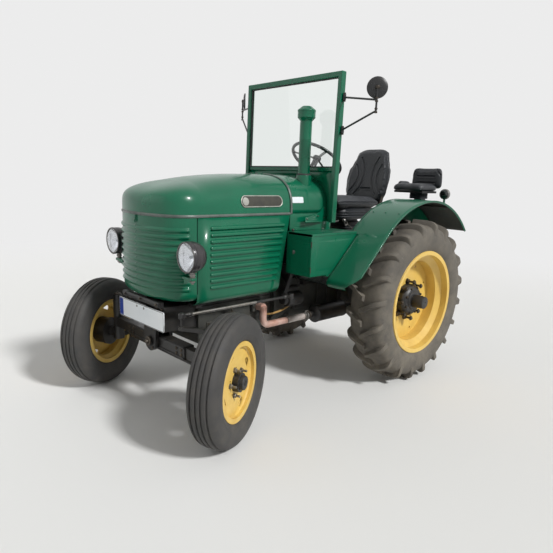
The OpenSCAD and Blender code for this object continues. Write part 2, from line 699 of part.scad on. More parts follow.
module side_panels() {
    length = panel_top_y - nose_seam_y - seat_gap;
    slot_foot = 1.5;
    slot_h = louvre_r - louvre_t - 5 - slot_foot;
    color(bonnet_green) from_axle() both_sides() {
        difference() {
            translate([bonnet_half_w, panel_top_y, 0]) rotate([90, 0, 0]) linear_extrude(length) skirt_section(skirt_z);
            for (i = [0:louvre_count - 1]) {
                z = louvre_z + i * louvre_pitch;
                // The slot stays inside the hood's feet on all sides.
                translate([bonnet_half_w - 20, louvre_front_y + 2 * louvre_t, z + slot_foot])
                    cube([40, round(panel_rear_y(z) - louvre_edge) - louvre_front_y - 4 * louvre_t, slot_h]);
            }
            // Slanted rear edge.
            rotate([90, 0, 90]) linear_extrude(500)
                polygon([[panel_top_y, seam_z + 50], [panel_top_y, seam_z], [panel_low_y, skirt_z], [panel_low_y, 600],
                    [-800, 600], [-800, seam_z + 50]]);
        }
        for (i = [0:louvre_count - 1]) louvre(louvre_z + i * louvre_pitch);
    }
}

function cowl_section(y) =
    let (t = min(1, (y - band_y) / (cowl_flare_y - band_y)), half = bonnet_half_w + (cowl_rear_half - bonnet_half_w) * t * t, n = 20)
    [for (i = [0:n]) let (u = sin(-90 + 180 * i / n))
        [half * u, y, seam_z + (crest_z - seam_z) * pow(max(0, 1 - pow(abs(u), top_power)), 1 / top_power)]];
// Rings of the cowl from the rear: y, and how far the sheet stands proud, with the lap joint and the band.
cowl_rings = [[cowl_rear_y, 0], [cowl_flare_y, 0], [-750, 0], [-806, 0], [-808, 2], [-850, 2], [-895, 2],
    [-931, 2], [-933, 5], [band_y + 1, 5]];

module cowl() {
    color(bonnet_green) from_axle() difference() {
        union() {
            cowl_body();
            hinge_barrel(-20, 40, 6);
        }
        column_line(column_r + seat_gap);
        for (x = [-61, 20]) hinge_barrel(x, 41, 7);
        // Seat of the intake stack.
        translate([stack_at[0], stack_at[1], stack_foot_z - seat_gap]) cylinder(h = 200, r = stack_foot_r + seat_gap, $fn = 48);
    }
}

module cowl_body() {
        skin([for (ring = cowl_rings) let (y = ring[0], half = cowl_section(y)[20][0], k = 1 + ring[1] / half)
            concat([for (p = cowl_section(y)) [p[0] * k, y, p[2] + ring[1] * max(0, (p[2] - seam_z) / (crest_z - seam_z))]],
                [[half * k, y, seam_z - 1], [-half * k, y, seam_z - 1]])]);
        // Skirt sides and firewall below the tank.
        both_sides() translate([bonnet_half_w - sheet, band_y + 1, 950]) cube([sheet, 360, seam_z - 950]);
        translate([-bonnet_half_w + sheet, -664, gear_top_z + seat_gap]) cube([2 * (bonnet_half_w - sheet), sheet, seam_z - gear_top_z - 1]);
}

module screen_frame_at() from_axle() translate([0, screen_foot[0], screen_foot[1]]) rotate([-screen_lean, 0, 0]) children();
screen_h = (screen_top_z - screen_foot[1]) / cos(screen_lean);
glass_h = (glass_low_z - screen_foot[1]) / cos(screen_lean);
post_w = 34;
post_d = 42;

module windscreen_frame() {
    color(bonnet_green) from_axle() both_sides() screen_brace();
    color(bonnet_green) difference() {
        screen_frame_at() difference() {
            translate([-screen_half_w, -post_d / 2, 0]) cube([2 * screen_half_w, post_d, screen_h]);
            translate([-screen_half_w + post_w, -post_d, glass_h]) cube([2 * (screen_half_w - post_w), 2 * post_d, screen_h - glass_h - post_w]);
            // The sheet beside the cowl is thinner than the posts.
            for (y = [-post_d, sheet]) translate([-screen_half_w + post_w, y, -1])
                cube([2 * (screen_half_w - post_w), post_d, glass_h - 40]);
        }
        from_axle() translate([0, -600, 0]) rotate([90, 0, 0]) linear_extrude(300) {
            polygon(concat([for (p = cowl_section(cowl_flare_y)) [p[0] * (1 + seat_gap / cowl_rear_half), p[2] + seat_gap]],
                [[cowl_rear_half + seat_gap, 1100], [-cowl_rear_half - seat_gap, 1100]]));
        }
    }
}

// Brace from the cowl's side to the foot of the post.
module screen_brace() {
    x = cowl_rear_half + 2;
    translate([x, 0, 0]) rotate([90, 0, 90]) linear_extrude(3)
        polygon([[-862, 1176], [-862, 1206], [-775, 1222], [-720, 1242], [-684, 1280], [-658, 1280], [-658, 1176]]);
    translate([x + 1, 0, 1176]) along_y(-862) cylinder(h = 160, r = 6, $fn = 24);
}

module windscreen_glass() {
    color([0.75, 0.85, 0.85, 0.4]) screen_frame_at()
        translate([-screen_half_w + post_w + seat_gap, -3, glass_h + seat_gap])
            cube([2 * (screen_half_w - post_w - seat_gap), 6, screen_h - glass_h - post_w - 2 * seat_gap]);
}

stack_at = [248, -757];
stack_foot_r = 52;
stack_foot_z = 1400;
module intake_stack() {
    color(bonnet_green) from_axle() translate([stack_at[0], stack_at[1], 0]) {
        translate([0, 0, stack_foot_z]) cylinder(h = 74, r = stack_foot_r, $fn = 48);
        translate([0, 0, 1473]) cylinder(h = 360, r = 39, $fn = 48);
        translate([0, 0, 1820]) cylinder(h = 20, r1 = 39, r2 = 60, $fn = 48);
        translate([0, 0, 1839]) cylinder(h = 50, r = 60, $fn = 48);
        translate([0, 0, 1888]) cylinder(h = 24, r1 = 60, r2 = 30, $fn = 48);
    }
}

module toolbox() {
    w = toolbox_out_x - toolbox_in_x;
    color(bonnet_green) from_axle() translate([toolbox_in_x, toolbox_rear_y - toolbox_l, toolbox_z]) difference() {
        union() {
            cube([w, toolbox_l, toolbox_h]);
            translate([0, 0, toolbox_h - 12]) cube([w + 3, toolbox_l, 12]);
        }
        translate([box_wall, -1, box_wall]) cube([w - 2 * box_wall, toolbox_l - box_wall + 1, toolbox_h - 2 * box_wall]);
    }
    // Stile beside the door.
    color(bonnet_green) from_axle() translate([toolbox_in_x, toolbox_rear_y - toolbox_l, toolbox_z])
        cube([door_in_x - seat_gap - toolbox_in_x, box_wall, toolbox_h]);
}

module toolbox_door() {
    w = toolbox_out_x - door_in_x;
    color(bonnet_green) from_axle() translate([door_in_x, toolbox_rear_y - toolbox_l - door_gap - box_wall, toolbox_z]) {
        cube([w, box_wall, toolbox_h - 17]);
        translate([30, 0.5, 140]) rotate([90, 0, 0]) cylinder(h = 9, r = 11, $fn = 24);
    }
}

fender_in_x = rear_track / 2 - 165;
fender_front_x = toolbox_out_x + 3 + seat_gap;   // the tool box takes the inner part of the front run
fender_out_x = rear_track / 2 + 125;
fender_rear_a = 43;
fender_front_a = 134;
fender_run = 425;
floor_z = 765;

fender_t = 3;
fender_curl = 34;     // radius of the turned-in lower end
fender_lip = 11;      // depth of the lip along the outer edge
fender_corner_r = 140;

// The fender's crown in its own plane, moved outwards by out: arc from angle first, straight run and curl.
function fender_path(out, first) =
    concat([for (i = [0:24]) let (a = first + (fender_front_a - first) * i / 24)
            (fender_r + out) * [cos(a), sin(a)]],
        [for (b = [0:15:105]) turned([fender_r - fender_curl + (fender_curl + out) * cos(b),
            fender_run + (fender_curl + out) * sin(b)], fender_front_a)]);
function reversed(list) = [for (i = [len(list) - 1:-1:0]) list[i]];

module fender_sheet() {
    floor_level = floor_z - rear_z;
    inner_a = fender_rear_a + 1.1;
    translate([fender_in_x, 0, rear_z]) rotate([90, 0, 90]) {
        linear_extrude(fender_out_x - fender_in_x) polygon(concat(fender_path(fender_t, fender_rear_a), reversed(fender_path(0, fender_rear_a))));
        // Inner wall down to the floor plates.
        linear_extrude(fender_t) polygon(concat(fender_path(fender_t / 2, inner_a),
            [[-700, floor_level], [60, floor_level], [370, 464]]));
        // Lip along the outer edge.
        translate([0, 0, fender_out_x - fender_in_x - fender_t]) linear_extrude(fender_t)
            polygon(concat(fender_path(fender_t / 2, inner_a), reversed(fender_path(-fender_lip, inner_a))));
    }
}

// What the round corner at the lower outer end takes off.
module fender_corner() {
    w = fender_out_x - fender_in_x;
    end = fender_run + fender_curl;
    translate([fender_in_x, 0, rear_z]) rotate([90, 0, 90]) rotate([0, 0, fender_front_a])
        translate([fender_r - 100, end - 0.94 * fender_corner_r, w - 0.94 * fender_corner_r]) rotate([90, 0, 90])
            linear_extrude(130) difference() {
                square(fender_corner_r + 10);
                circle(r = fender_corner_r, $fn = 64);
            }
}
module fenders() {
    color(bonnet_green) from_axle() both_sides() difference() {
        fender_sheet();
        fender_corner();
        translate([0, -1200, 600]) cube([fender_front_x, 1200 + toolbox_rear_y + seat_gap, 800]);
    }
}

module floor_plates() {
    color(black) from_axle() both_sides() {
        translate([gear_half_w + seat_gap, -740, floor_z - 5]) cube([fender_in_x - gear_half_w - 2 * seat_gap, 500, 5]);
        for (y = [-640, -420]) translate([gear_half_w + seat_gap, y, floor_z - 65]) cube([30, 40, 61]);
    }
}

module seat_base() {
    color(black) from_axle() {
        translate([-110, -140, 840 + seat_gap]) cube([220, 240, 30]);
        translate([-130, -120, 869]) cube([260, 220, 110]);
        // Bellows of the seat's suspension.
        rotate_extrude($fn = 48) polygon(concat([[0, 978]],
            [for (i = [0:8]) [i % 2 == 0 ? 96 : 116, 978 + i * 22.5]], [[0, 1158]]));
        translate([-190, -250, 1157]) cube([380, 440, 84]);
        // Arm that carries the backrest.
        difference() {
            translate([-50, 150, 1190]) cube([100, 140, 80]);
            translate([-100, 0, 1241]) cube([200, 190 + seat_gap, 200]);
            seat_back_at() translate([-200, -100, -seat_gap]) cube([700, 400, 300]);
        }
    }
}

module seat_cushion() {
    color(black) from_axle() translate([-seat_half_w, -330, 1241.3]) slab([2 * seat_half_w, 520, 100], 50);
}

module seat_back_at() translate([-seat_half_w + 8, 215, 1250]) rotate([-12, 0, 0]) children();

module seat_back() {
    color(black) from_axle() seat_back_at() {
        rotate([90, 0, 0]) translate([0, 0, -110]) slab([2 * seat_half_w - 16, 500, 110], 60);
    }
}

module side_seat_pads() {
    color(black) from_axle() {
        translate([fender_in_x - 115, 60, 1392]) slab([270, 260, 55], 40);
        translate([fender_in_x - 115, 330, 1400]) cube([270, 60, 170]);
    }
}

module side_seat_frame() {
    color(black) from_axle() {
        translate([fender_in_x - 100, 100, 1376]) cube([240, 200, 15.5]);
        // Rest of the small backrest.
        translate([fender_in_x - 20, 299, 1376]) cube([90, 60, 15.5]);
        translate([fender_in_x - 20, 320 + seat_gap, 1391]) cube([90, 39, 9 - seat_gap]);
        difference() {
            translate([fender_in_x + 40, 160, 1280]) cube([60, 60, 97]);
            translate([0, 0, rear_z]) along_x(500) cylinder(h = 200, r = fender_r + 3 + seat_gap, $fn = 96);
        }
    }
}

lamp_at = [414, nose_y + 64, 1025];
lamp_bowl_r = 85;
lamp_depth = sqrt(pow(lamp_bowl_r, 2) - pow(lamp_r + 2, 2));   // from the bowl's middle to its rim

// Round bowl with a bezel, closed in front by the lens, on a stem that stands on the nose's bracket.
module headlamp_shells() {
    color(black) from_axle() both_sides() translate(lamp_at) {
        difference() {
            union() {
                difference() {
                    translate([0, lamp_depth, 0]) sphere(r = lamp_bowl_r, $fn = 64);
                    translate([-100, -100, -100]) cube([200, 100, 200]);
                }
                along_y(-8) cylinder(h = 12, r = lamp_r + 8, $fn = 64);
                along_y(4) cylinder(h = 8, r1 = lamp_r + 8, r2 = lamp_r + 4, $fn = 64);
            }
            translate([0, lamp_depth, 0]) sphere(r = lamp_bowl_r - 4, $fn = 64);
            along_y(-9) cylinder(h = 12, r = lamp_r + seat_gap, $fn = 64);
        }
        translate([0, 38, -lamp_r - 36]) cylinder(h = 34, r = 15, $fn = 32);
    }
    color(black) from_axle() both_sides() difference() {
        translate([280, lamp_at[1] + 20, lamp_at[2] - lamp_r - 52]) cube([lamp_at[0] + 18 - 280, 34, 17]);
        translate([0, 0, 500]) linear_extrude(700) nose_plan(rib_out + seat_gap);
    }
}

module headlamp_lenses() {
    dome_r = 205;
    color([0.9, 0.93, 0.95]) from_axle() both_sides() translate(lamp_at + [0, 3 - seat_gap, 0]) rotate([90, 0, 0])
        rotate_extrude($fn = 64) intersection() {
            translate([0, 24 - dome_r]) circle(r = dome_r, $fn = 128);
            square([lamp_r, 40]);
        }
}

module number_plate() {
    color("white") from_axle() translate([-plate_l / 2, nose_y + 13, 577]) cube([plate_l, 5, 118]);
}

exhaust_x = 250;
module exhaust() {
    pipe_r = 23;
    color([0.55, 0.45, 0.4]) from_axle() {
        bar([exhaust_x, -1090, 620], [exhaust_x, -1090, 536], pipe_r);
        translate([exhaust_x, -1040, 536]) rotate([90, 0, 90]) rotate_extrude(angle = 90, start = 180, $fn = 48)
            translate([50, 0]) circle(r = pipe_r, $fn = 32);
        bar([exhaust_x, -1041, 486], [exhaust_x, -580, 486], pipe_r);
        bar([exhaust_x, -600, 486], [exhaust_x, -250, 486], 64, 48);
        bar([exhaust_x, -251, 486], [exhaust_x, -120, 486], pipe_r);
        bar([engine_half_w + seat_gap, -1090, 610], [exhaust_x, -1090, 610], 26);
    }
}

// Round mirrors, turned towards the driver: place of the disc's middle, for each side.
mirror_left = [742, -690, 1987];
mirror_right = [-680, -503, 2043];
mirror_r = 62;
mirror_turn = 41;
// Mirror on two arms from the post, which meet at the foot of the stem in front of the disc.
module mirror_on_arms(at, side) {
    post = [side * (screen_half_w + 3), -642, 1963];
    low_post = [side * (screen_half_w + 4.5), -645, 1762];
    front = 14 * [side * sin(mirror_turn), -cos(mirror_turn), 0];
    stem = at + front + [0, 0, -70];
    bend = stem + [0, 0, -62];
    bar(post, stem, 6, 16);
    bar(low_post, bend, 6, 16);
    bar(bend, at + front, 6, 16);
    for (p = [bend, stem, at + front]) translate(p) sphere(r = 8, $fn = 16);
    translate(at) rotate([0, 0, side * mirror_turn]) {
        rotate([90, 0, 0]) cylinder(h = 9, r1 = mirror_r, r2 = 40, $fn = 48);
        rotate([-90, 0, 0]) cylinder(h = 8, r = mirror_r, $fn = 48);
    }
}
module mirrors() {
    color(black) from_axle() {
        mirror_on_arms(mirror_left, 1);
        mirror_on_arms(mirror_right, -1);
    }
}

module hitch() {
    color(iron) from_axle() difference() {
        union() {
            translate([-90, 200 + seat_gap, 430]) cube([180, 66, 90]);
            for (z = [440, 510]) translate([-45, 265, z]) cube([90, 150, 22]);
            for (z = [440, 510]) translate([0, 415, z]) cylinder(h = 22, r = 45, $fn = 48);
        }
        translate([0, 415, 430]) cylinder(h = 110, r = hitch_pin_r, $fn = 32);
    }
}

module controls() {
    color(steel) from_axle() {
        bar([40, -330, gear_top_z + 2], [95, -300, 1165], 9, 16);
        translate([95, -300, 1170]) sphere(r = 22, $fn = 24);
        bar([-60, -430, gear_top_z + 3.5], [-90, -330, 1080], 9, 16);
        // Pedals on the floor plates.
        for (x = [-260, 210, 300]) {
            bar([x, -560, floor_z + 5], [x, -640, floor_z + 130], 8, 16);
            translate([x - 35, -640, floor_z + 120]) rotate([-35, 0, 0]) slab([70, 75, 8], 12);
        }
    }
}

module rear_lamps() {
    color([0.6, 0.1, 0.05]) from_axle() both_sides() {
        translate([fender_out_x - 90, 300, 1372]) along_y(0) cylinder(h = 40, r = 38, $fn = 32);
        difference() {
            translate([fender_out_x - 100, 310, 1240]) cube([20, 20, 100]);
            translate([0, 0, rear_z]) along_x(500) cylinder(h = 300, r = fender_r + 3 + seat_gap, $fn = 96);
        }
    }
}

engine_block();
transmission();
front_support();
front_axle();
nose_shell();
side_panels();
bonnet_lid();
cowl();
windscreen_frame();
windscreen_glass();
intake_stack();
toolbox();
toolbox_door();
fenders();
floor_plates();
seat_base();
seat_cushion();
seat_back();
side_seat_pads();
side_seat_frame();
headlamp_shells();
headlamp_lenses();
number_plate();
exhaust();
steering_column();
steering_wheel();
drop_arm();
drag_link();
tie_rod();
knuckle_left();
knuckle_right();
mirrors();
hitch();
controls();
rear_lamps();
front_tyre_left();
front_tyre_right();
front_rim_left();
front_rim_right();
front_hub_left();
front_hub_right();
rear_tyre_left();
rear_tyre_right();
rear_rim_left();
rear_rim_right();
rear_hub_left();
rear_hub_right();
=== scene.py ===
import json
from math import copysign, cos, pi, radians, sin, sqrt, tan

import bmesh
import bpy
from mathutils import Matrix, Vector
from mathutils.bvhtree import BVHTree
from mathutils.kdtree import KDTree

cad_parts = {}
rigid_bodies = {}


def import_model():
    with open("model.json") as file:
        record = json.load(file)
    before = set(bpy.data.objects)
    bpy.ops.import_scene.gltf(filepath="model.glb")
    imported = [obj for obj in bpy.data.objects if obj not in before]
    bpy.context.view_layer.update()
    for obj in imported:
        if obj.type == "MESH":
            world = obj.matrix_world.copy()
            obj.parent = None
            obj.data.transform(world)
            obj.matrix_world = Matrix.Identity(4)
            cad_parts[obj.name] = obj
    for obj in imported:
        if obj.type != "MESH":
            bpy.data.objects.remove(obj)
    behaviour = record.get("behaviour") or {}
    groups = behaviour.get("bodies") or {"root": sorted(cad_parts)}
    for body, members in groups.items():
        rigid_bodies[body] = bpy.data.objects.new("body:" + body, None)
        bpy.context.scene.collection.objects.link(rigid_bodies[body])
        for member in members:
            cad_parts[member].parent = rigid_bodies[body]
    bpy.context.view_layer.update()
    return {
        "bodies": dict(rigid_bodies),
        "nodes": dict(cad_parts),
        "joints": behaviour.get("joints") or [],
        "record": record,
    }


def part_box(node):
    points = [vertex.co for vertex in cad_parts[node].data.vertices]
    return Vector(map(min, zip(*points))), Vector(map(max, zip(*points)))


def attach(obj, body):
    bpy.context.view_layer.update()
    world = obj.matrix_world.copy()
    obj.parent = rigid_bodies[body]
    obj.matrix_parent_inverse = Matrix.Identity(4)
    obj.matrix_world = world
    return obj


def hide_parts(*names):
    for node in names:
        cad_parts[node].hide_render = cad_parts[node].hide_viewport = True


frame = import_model()
nodes = frame["nodes"]
print("frame loaded:", len(nodes), "CAD nodes")

mm = 0.001
axleY = (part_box("rear_hub_left")[0].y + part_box("rear_hub_left")[1].y) / 2   # rear axle line
upward, rearward = Vector((0, 0, 1)), Vector((0, 1, 0))
ahead, toLeft = Vector((0, -1, 0)), Vector((1, 0, 0))
sides = ((1, "Left"), (-1, "Right"))


# Camera, with the photo's place, lens and tilt

camera = dict(place=(2.658, axleY - 3.339, 1.448), turn=46.73, down=13.30, roll=1.865,
              lens=33.25, shift=(0.0195, 0.0405))


def makeCamera():
    turn, down, roll = (radians(camera[k]) for k in ("turn", "down", "roll"))
    forward = Vector((-sin(turn) * cos(down), cos(turn) * cos(down), -sin(down)))
    right = Vector((cos(turn), sin(turn), 0))
    up = right.cross(forward)
    rolledRight = right * cos(roll) + up * sin(roll)
    rolledUp = -right * sin(roll) + up * cos(roll)
    data = bpy.data.cameras.new("photoCamera")
    data.lens = camera["lens"]
    data.sensor_width = 36
    data.shift_x, data.shift_y = camera["shift"]
    data.clip_end = 60
    eye = bpy.data.objects.new("photoCamera", data)
    axes = Matrix((rolledRight, rolledUp, -forward)).transposed().to_4x4()
    eye.matrix_world = Matrix.Translation(camera["place"]) @ axes
    bpy.context.scene.collection.objects.link(eye)
    bpy.context.scene.camera = eye


makeCamera()


# Shader groups: grain and tone of a surface, the dust that lies on it, and chipped paint

def startTree(kind, name, inputs, outputs):
    tree = bpy.data.node_groups.new(name, kind)
    for label, socketKind, *value in inputs:
        socket = tree.interface.new_socket(label, in_out="INPUT", socket_type="NodeSocket" + socketKind)
        if value:
            socket.default_value = value[0]
    for label, socketKind in outputs:
        tree.interface.new_socket(label, in_out="OUTPUT", socket_type="NodeSocket" + socketKind)
    return tree, tree.nodes.new("NodeGroupInput"), tree.nodes.new("NodeGroupOutput")


def feed(tree, node, values):
    # values: what each input gets, a number, a colour or another node's output
    for key, value in values.items():
        if isinstance(value, bpy.types.NodeSocket):
            tree.links.new(value, node.inputs[key])
        elif isinstance(value, tuple):
            node.inputs[key].default_value = (*value[:3], 1)
        else:
            node.inputs[key].default_value = value


def mathNode(tree, operation, *values, clamp=False):
    node = tree.nodes.new("ShaderNodeMath")
    node.operation = operation
    node.use_clamp = clamp
    feed(tree, node, dict(enumerate(values)))
    return node.outputs[0]


def mixColor(tree, factor, a, b):
    node = tree.nodes.new("ShaderNodeMix")
    node.data_type = "RGBA"
    feed(tree, node, {0: factor, 6: a, 7: b})
    return node.outputs[2]


def noiseNode(tree, vector, scale, detail, roughness=0.55):
    node = tree.nodes.new("ShaderNodeTexNoise")
    feed(tree, node, {"Vector": vector, "Scale": scale, "Detail": detail, "Roughness": roughness})
    return node.outputs["Fac"]


def makeToneGroup():
    # Color drifts between two tones, Roughness round a middle value, Height is a fine grain
    tree, start, end = startTree("ShaderNodeTree", "surfaceTone",
        [("Color", "Color", (0.5, 0.5, 0.5, 1)), ("Second Color", "Color", (0.4, 0.4, 0.4, 1)),
         ("Patch Scale", "Float", 6.0), ("Grain Scale", "Float", 180.0),
         ("Roughness", "Float", 0.4), ("Roughness Spread", "Float", 0.15)],
        [("Color", "Color"), ("Roughness", "Float"), ("Height", "Float")])
    place = tree.nodes.new("ShaderNodeTexCoord").outputs["Object"]
    patch = noiseNode(tree, place, start.outputs["Patch Scale"], 4.0)
    patch = mathNode(tree, "MULTIPLY_ADD", patch, 2.2, -0.6, clamp=True)
    color = mixColor(tree, patch, start.outputs["Color"], start.outputs["Second Color"])
    grain = noiseNode(tree, place, start.outputs["Grain Scale"], 2.0)
    spread = mathNode(tree, "MULTIPLY", mathNode(tree, "SUBTRACT", patch, 0.5),
                      start.outputs["Roughness Spread"])
    rough = mathNode(tree, "ADD", start.outputs["Roughness"], spread, clamp=True)
    feed(tree, end, {"Color": color, "Roughness": rough, "Height": grain})
    return tree


def makeDustGroup():
    # Dust is thick low down and thins out with height, broken up by noise; upward faces catch more
    tree, start, end = startTree("ShaderNodeTree", "roadDust",
                                 [("Color", "Color", (0.5, 0.5, 0.5, 1)), ("Roughness", "Float", 0.4),
                                  ("Dust Color", "Color", (0.3, 0.27, 0.22, 1)), ("Amount", "Float", 0.5),
                                  ("Top Height", "Float", 1.0), ("Scale", "Float", 14.0)],
                                 [("Color", "Color"), ("Roughness", "Float"), ("Mask", "Float")])
    place = tree.nodes.new("ShaderNodeTexCoord").outputs["Object"]
    split = tree.nodes.new("ShaderNodeSeparateXYZ")
    feed(tree, split, {0: place})
    low = mathNode(tree, "SUBTRACT", 1.0, mathNode(tree, "DIVIDE", split.outputs["Z"],
                                                   start.outputs["Top Height"]), clamp=True)
    facing = tree.nodes.new("ShaderNodeNewGeometry")
    up = tree.nodes.new("ShaderNodeSeparateXYZ")
    feed(tree, up, {0: facing.outputs["Normal"]})
    lying = mathNode(tree, "MULTIPLY", mathNode(tree, "MAXIMUM", up.outputs["Z"], 0.0), 0.6)
    broken = noiseNode(tree, place, start.outputs["Scale"], 5.0, 0.65)
    broken = mathNode(tree, "MULTIPLY_ADD", broken, 3.0, -1.0, clamp=True)
    mask = mathNode(tree, "MULTIPLY", mathNode(tree, "ADD", low, lying), broken)
    mask = mathNode(tree, "MULTIPLY", mask, start.outputs["Amount"], clamp=True)
    color = mixColor(tree, mask, start.outputs["Color"], start.outputs["Dust Color"])
    rough = tree.nodes.new("ShaderNodeMix")
    feed(tree, rough, {0: mask, 2: start.outputs["Roughness"], 3: 0.9})
    feed(tree, end, {"Color": color, "Roughness": rough.outputs[0], "Mask": mask})
    return tree


def makeChipGroup():
    # Small chips where another colour shows through
    tree, start, end = startTree("ShaderNodeTree", "paintChips",
        [("Color", "Color", (0.5, 0.5, 0.5, 1)), ("Chip Color", "Color", (0.2, 0.1, 0.05, 1)),
         ("Scale", "Float", 30.0), ("Share", "Float", 0.1)],
        [("Color", "Color"), ("Mask", "Float")])
    place = tree.nodes.new("ShaderNodeTexCoord").outputs["Object"]
    spots = noiseNode(tree, place, start.outputs["Scale"], 6.0, 0.6)
    limit = mathNode(tree, "SUBTRACT", 0.8, mathNode(tree, "MULTIPLY", start.outputs["Share"], 0.5))
    mask = mathNode(tree, "MULTIPLY", mathNode(tree, "SUBTRACT", spots, limit), 30.0, clamp=True)
    color = mixColor(tree, mask, start.outputs["Color"], start.outputs["Chip Color"])
    feed(tree, end, {"Color": color, "Mask": mask})
    return tree


toneGroup = makeToneGroup()
dustGroup = makeDustGroup()
chipGroup = makeChipGroup()


def srgb(r, g, b):
    return tuple(((v / 255 + 0.055) / 1.055) ** 2.4 if v > 10 else v / 255 / 12.92 for v in (r, g, b))


def finish(name, color, second, rough, spread=0.12, patch=5.0, grain=160.0, bump=0.02, metallic=0.0,
           coat=0.0, dust=0.0, dustTop=1.0, dustColor=(0.30, 0.26, 0.20), chips=0.0,
           chipColor=(0.05, 0.03, 0.02), specular=0.5):
    made = bpy.data.materials.new(name)
    made.use_nodes = True
    tree = made.node_tree
    shader = tree.nodes["Principled BSDF"]
    tone = tree.nodes.new("ShaderNodeGroup")
    tone.node_tree = toneGroup
    feed(tree, tone, {"Color": color, "Second Color": second, "Patch Scale": patch, "Grain Scale": grain,
                      "Roughness": rough, "Roughness Spread": spread})
    colorOut, roughOut = tone.outputs["Color"], tone.outputs["Roughness"]
    if chips:
        chip = tree.nodes.new("ShaderNodeGroup")
        chip.node_tree = chipGroup
        feed(tree, chip, {"Color": colorOut, "Chip Color": chipColor, "Scale": 26.0, "Share": chips})
        colorOut = chip.outputs["Color"]
    if dust:
        cover = tree.nodes.new("ShaderNodeGroup")
        cover.node_tree = dustGroup
        feed(tree, cover, {"Color": colorOut, "Roughness": roughOut, "Dust Color": dustColor,
                           "Amount": dust, "Top Height": dustTop})
        colorOut, roughOut = cover.outputs["Color"], cover.outputs["Roughness"]
    grainBump = tree.nodes.new("ShaderNodeBump")
    feed(tree, grainBump, {"Strength": bump, "Distance": 0.01, "Height": tone.outputs["Height"]})
    feed(tree, shader, {"Base Color": colorOut, "Roughness": roughOut, "Metallic": metallic,
                        "Coat Weight": coat, "Coat Roughness": 0.08, "Specular IOR Level": specular,
                        "Normal": grainBump.outputs["Normal"]})
    return made


greenEnamel = finish("greenEnamel", srgb(0, 100, 70), srgb(0, 88, 62), 0.30, spread=0.10, patch=3.0,
                     bump=0.01, coat=0.35, specular=0.3, dust=0.05, dustTop=1.1,
                     dustColor=srgb(96, 112, 92))
yellowEnamel = finish("yellowEnamel", srgb(224, 190, 98), srgb(214, 176, 86), 0.42, patch=7.0, coat=0.15,
                      dust=0.22, dustTop=0.7, dustColor=srgb(150, 120, 70), chips=0.18,
                      chipColor=srgb(96, 66, 40))
blackEnamel = finish("blackEnamel", srgb(24, 25, 27), srgb(34, 34, 35), 0.38, patch=9.0, bump=0.04,
                     dust=0.30, dustTop=1.0, dustColor=srgb(92, 86, 76))
castIron = finish("castIron", srgb(52, 56, 54), srgb(38, 40, 40), 0.62, patch=11.0, grain=420.0, bump=0.25,
                  dust=0.45, dustTop=1.1, dustColor=srgb(98, 90, 74), chips=0.15,
                  chipColor=srgb(80, 50, 34))
frontRubber = finish("frontRubber", srgb(50, 50, 51), srgb(62, 61, 60), 0.66, patch=9.0, grain=300.0,
                     bump=0.10, dust=0.30, dustTop=0.9, dustColor=srgb(104, 98, 88))
rearRubber = finish("rearRubber", srgb(72, 69, 65), srgb(100, 95, 87), 0.78, patch=6.0, grain=240.0,
                    bump=0.14, dust=0.55, dustTop=1.6, dustColor=srgb(132, 124, 110))
seatVinyl = finish("seatVinyl", srgb(30, 33, 38), srgb(38, 41, 46), 0.42, patch=12.0, grain=520.0,
                   bump=0.22, specular=0.55)
redGlass = finish("redGlass", srgb(170, 24, 16), srgb(130, 16, 12), 0.15, coat=0.6, bump=0.02)
plateWhite = finish("plateWhite", srgb(232, 236, 238), srgb(222, 228, 232), 0.35, bump=0.0, coat=0.2)
hotPipe = finish("hotPipe", srgb(214, 184, 172), srgb(178, 130, 112), 0.48, spread=0.3, patch=14.0,
                 metallic=0.35, bump=0.08, dust=0.2, dustTop=1.0, dustColor=srgb(150, 116, 96))
brightSteel = finish("brightSteel", srgb(150, 150, 148), srgb(104, 100, 94), 0.40, spread=0.25, patch=22.0,
                     metallic=0.85, bump=0.06, dust=0.30, dustTop=1.2)


def makeGlass(name, tint, rough):
    made = bpy.data.materials.new(name)
    made.use_nodes = True
    feed(made.node_tree, made.node_tree.nodes["Principled BSDF"],
         {"Base Color": tint, "Roughness": rough, "Transmission Weight": 1.0, "IOR": 1.45})
    return made


clearGlass = makeGlass("clearGlass", (0.93, 0.97, 0.95), 0.02)
lampGlass = makeGlass("lampGlass", (0.96, 0.97, 0.98), 0.06)

# near black with a green cast: painted shade in the louvre slots, in the gaps beside the nose and on the
# firewall; also the dial faces' own black
blackAndPaintedShade = finish("blackAndPaintedShade", srgb(8, 16, 14), srgb(4, 8, 8), 0.9, bump=0.0, specular=0.1)
agedTrim = finish("agedTrim", srgb(112, 118, 114), srgb(74, 84, 80), 0.42, spread=0.2, patch=14.0,
                  metallic=0.25, bump=0.03, dust=0.10, dustTop=1.6)
darkSteel = finish("darkSteel", srgb(52, 50, 48), srgb(70, 60, 50), 0.45, spread=0.2, patch=30.0,
                   metallic=0.55, bump=0.05, dust=0.25, dustTop=1.4)
badgeMetal = finish("badgeMetal", srgb(196, 196, 188), srgb(150, 150, 142), 0.35, spread=0.2, patch=26.0,
                    metallic=0.6, bump=0.04)
badgeField = finish("badgeField", srgb(44, 44, 40), srgb(62, 60, 50), 0.5, patch=24.0, bump=0.05)
mirrorGlass = finish("mirrorGlass", srgb(225, 228, 230), srgb(215, 220, 222), 0.04, spread=0.02,
                     metallic=1.0, bump=0.0)
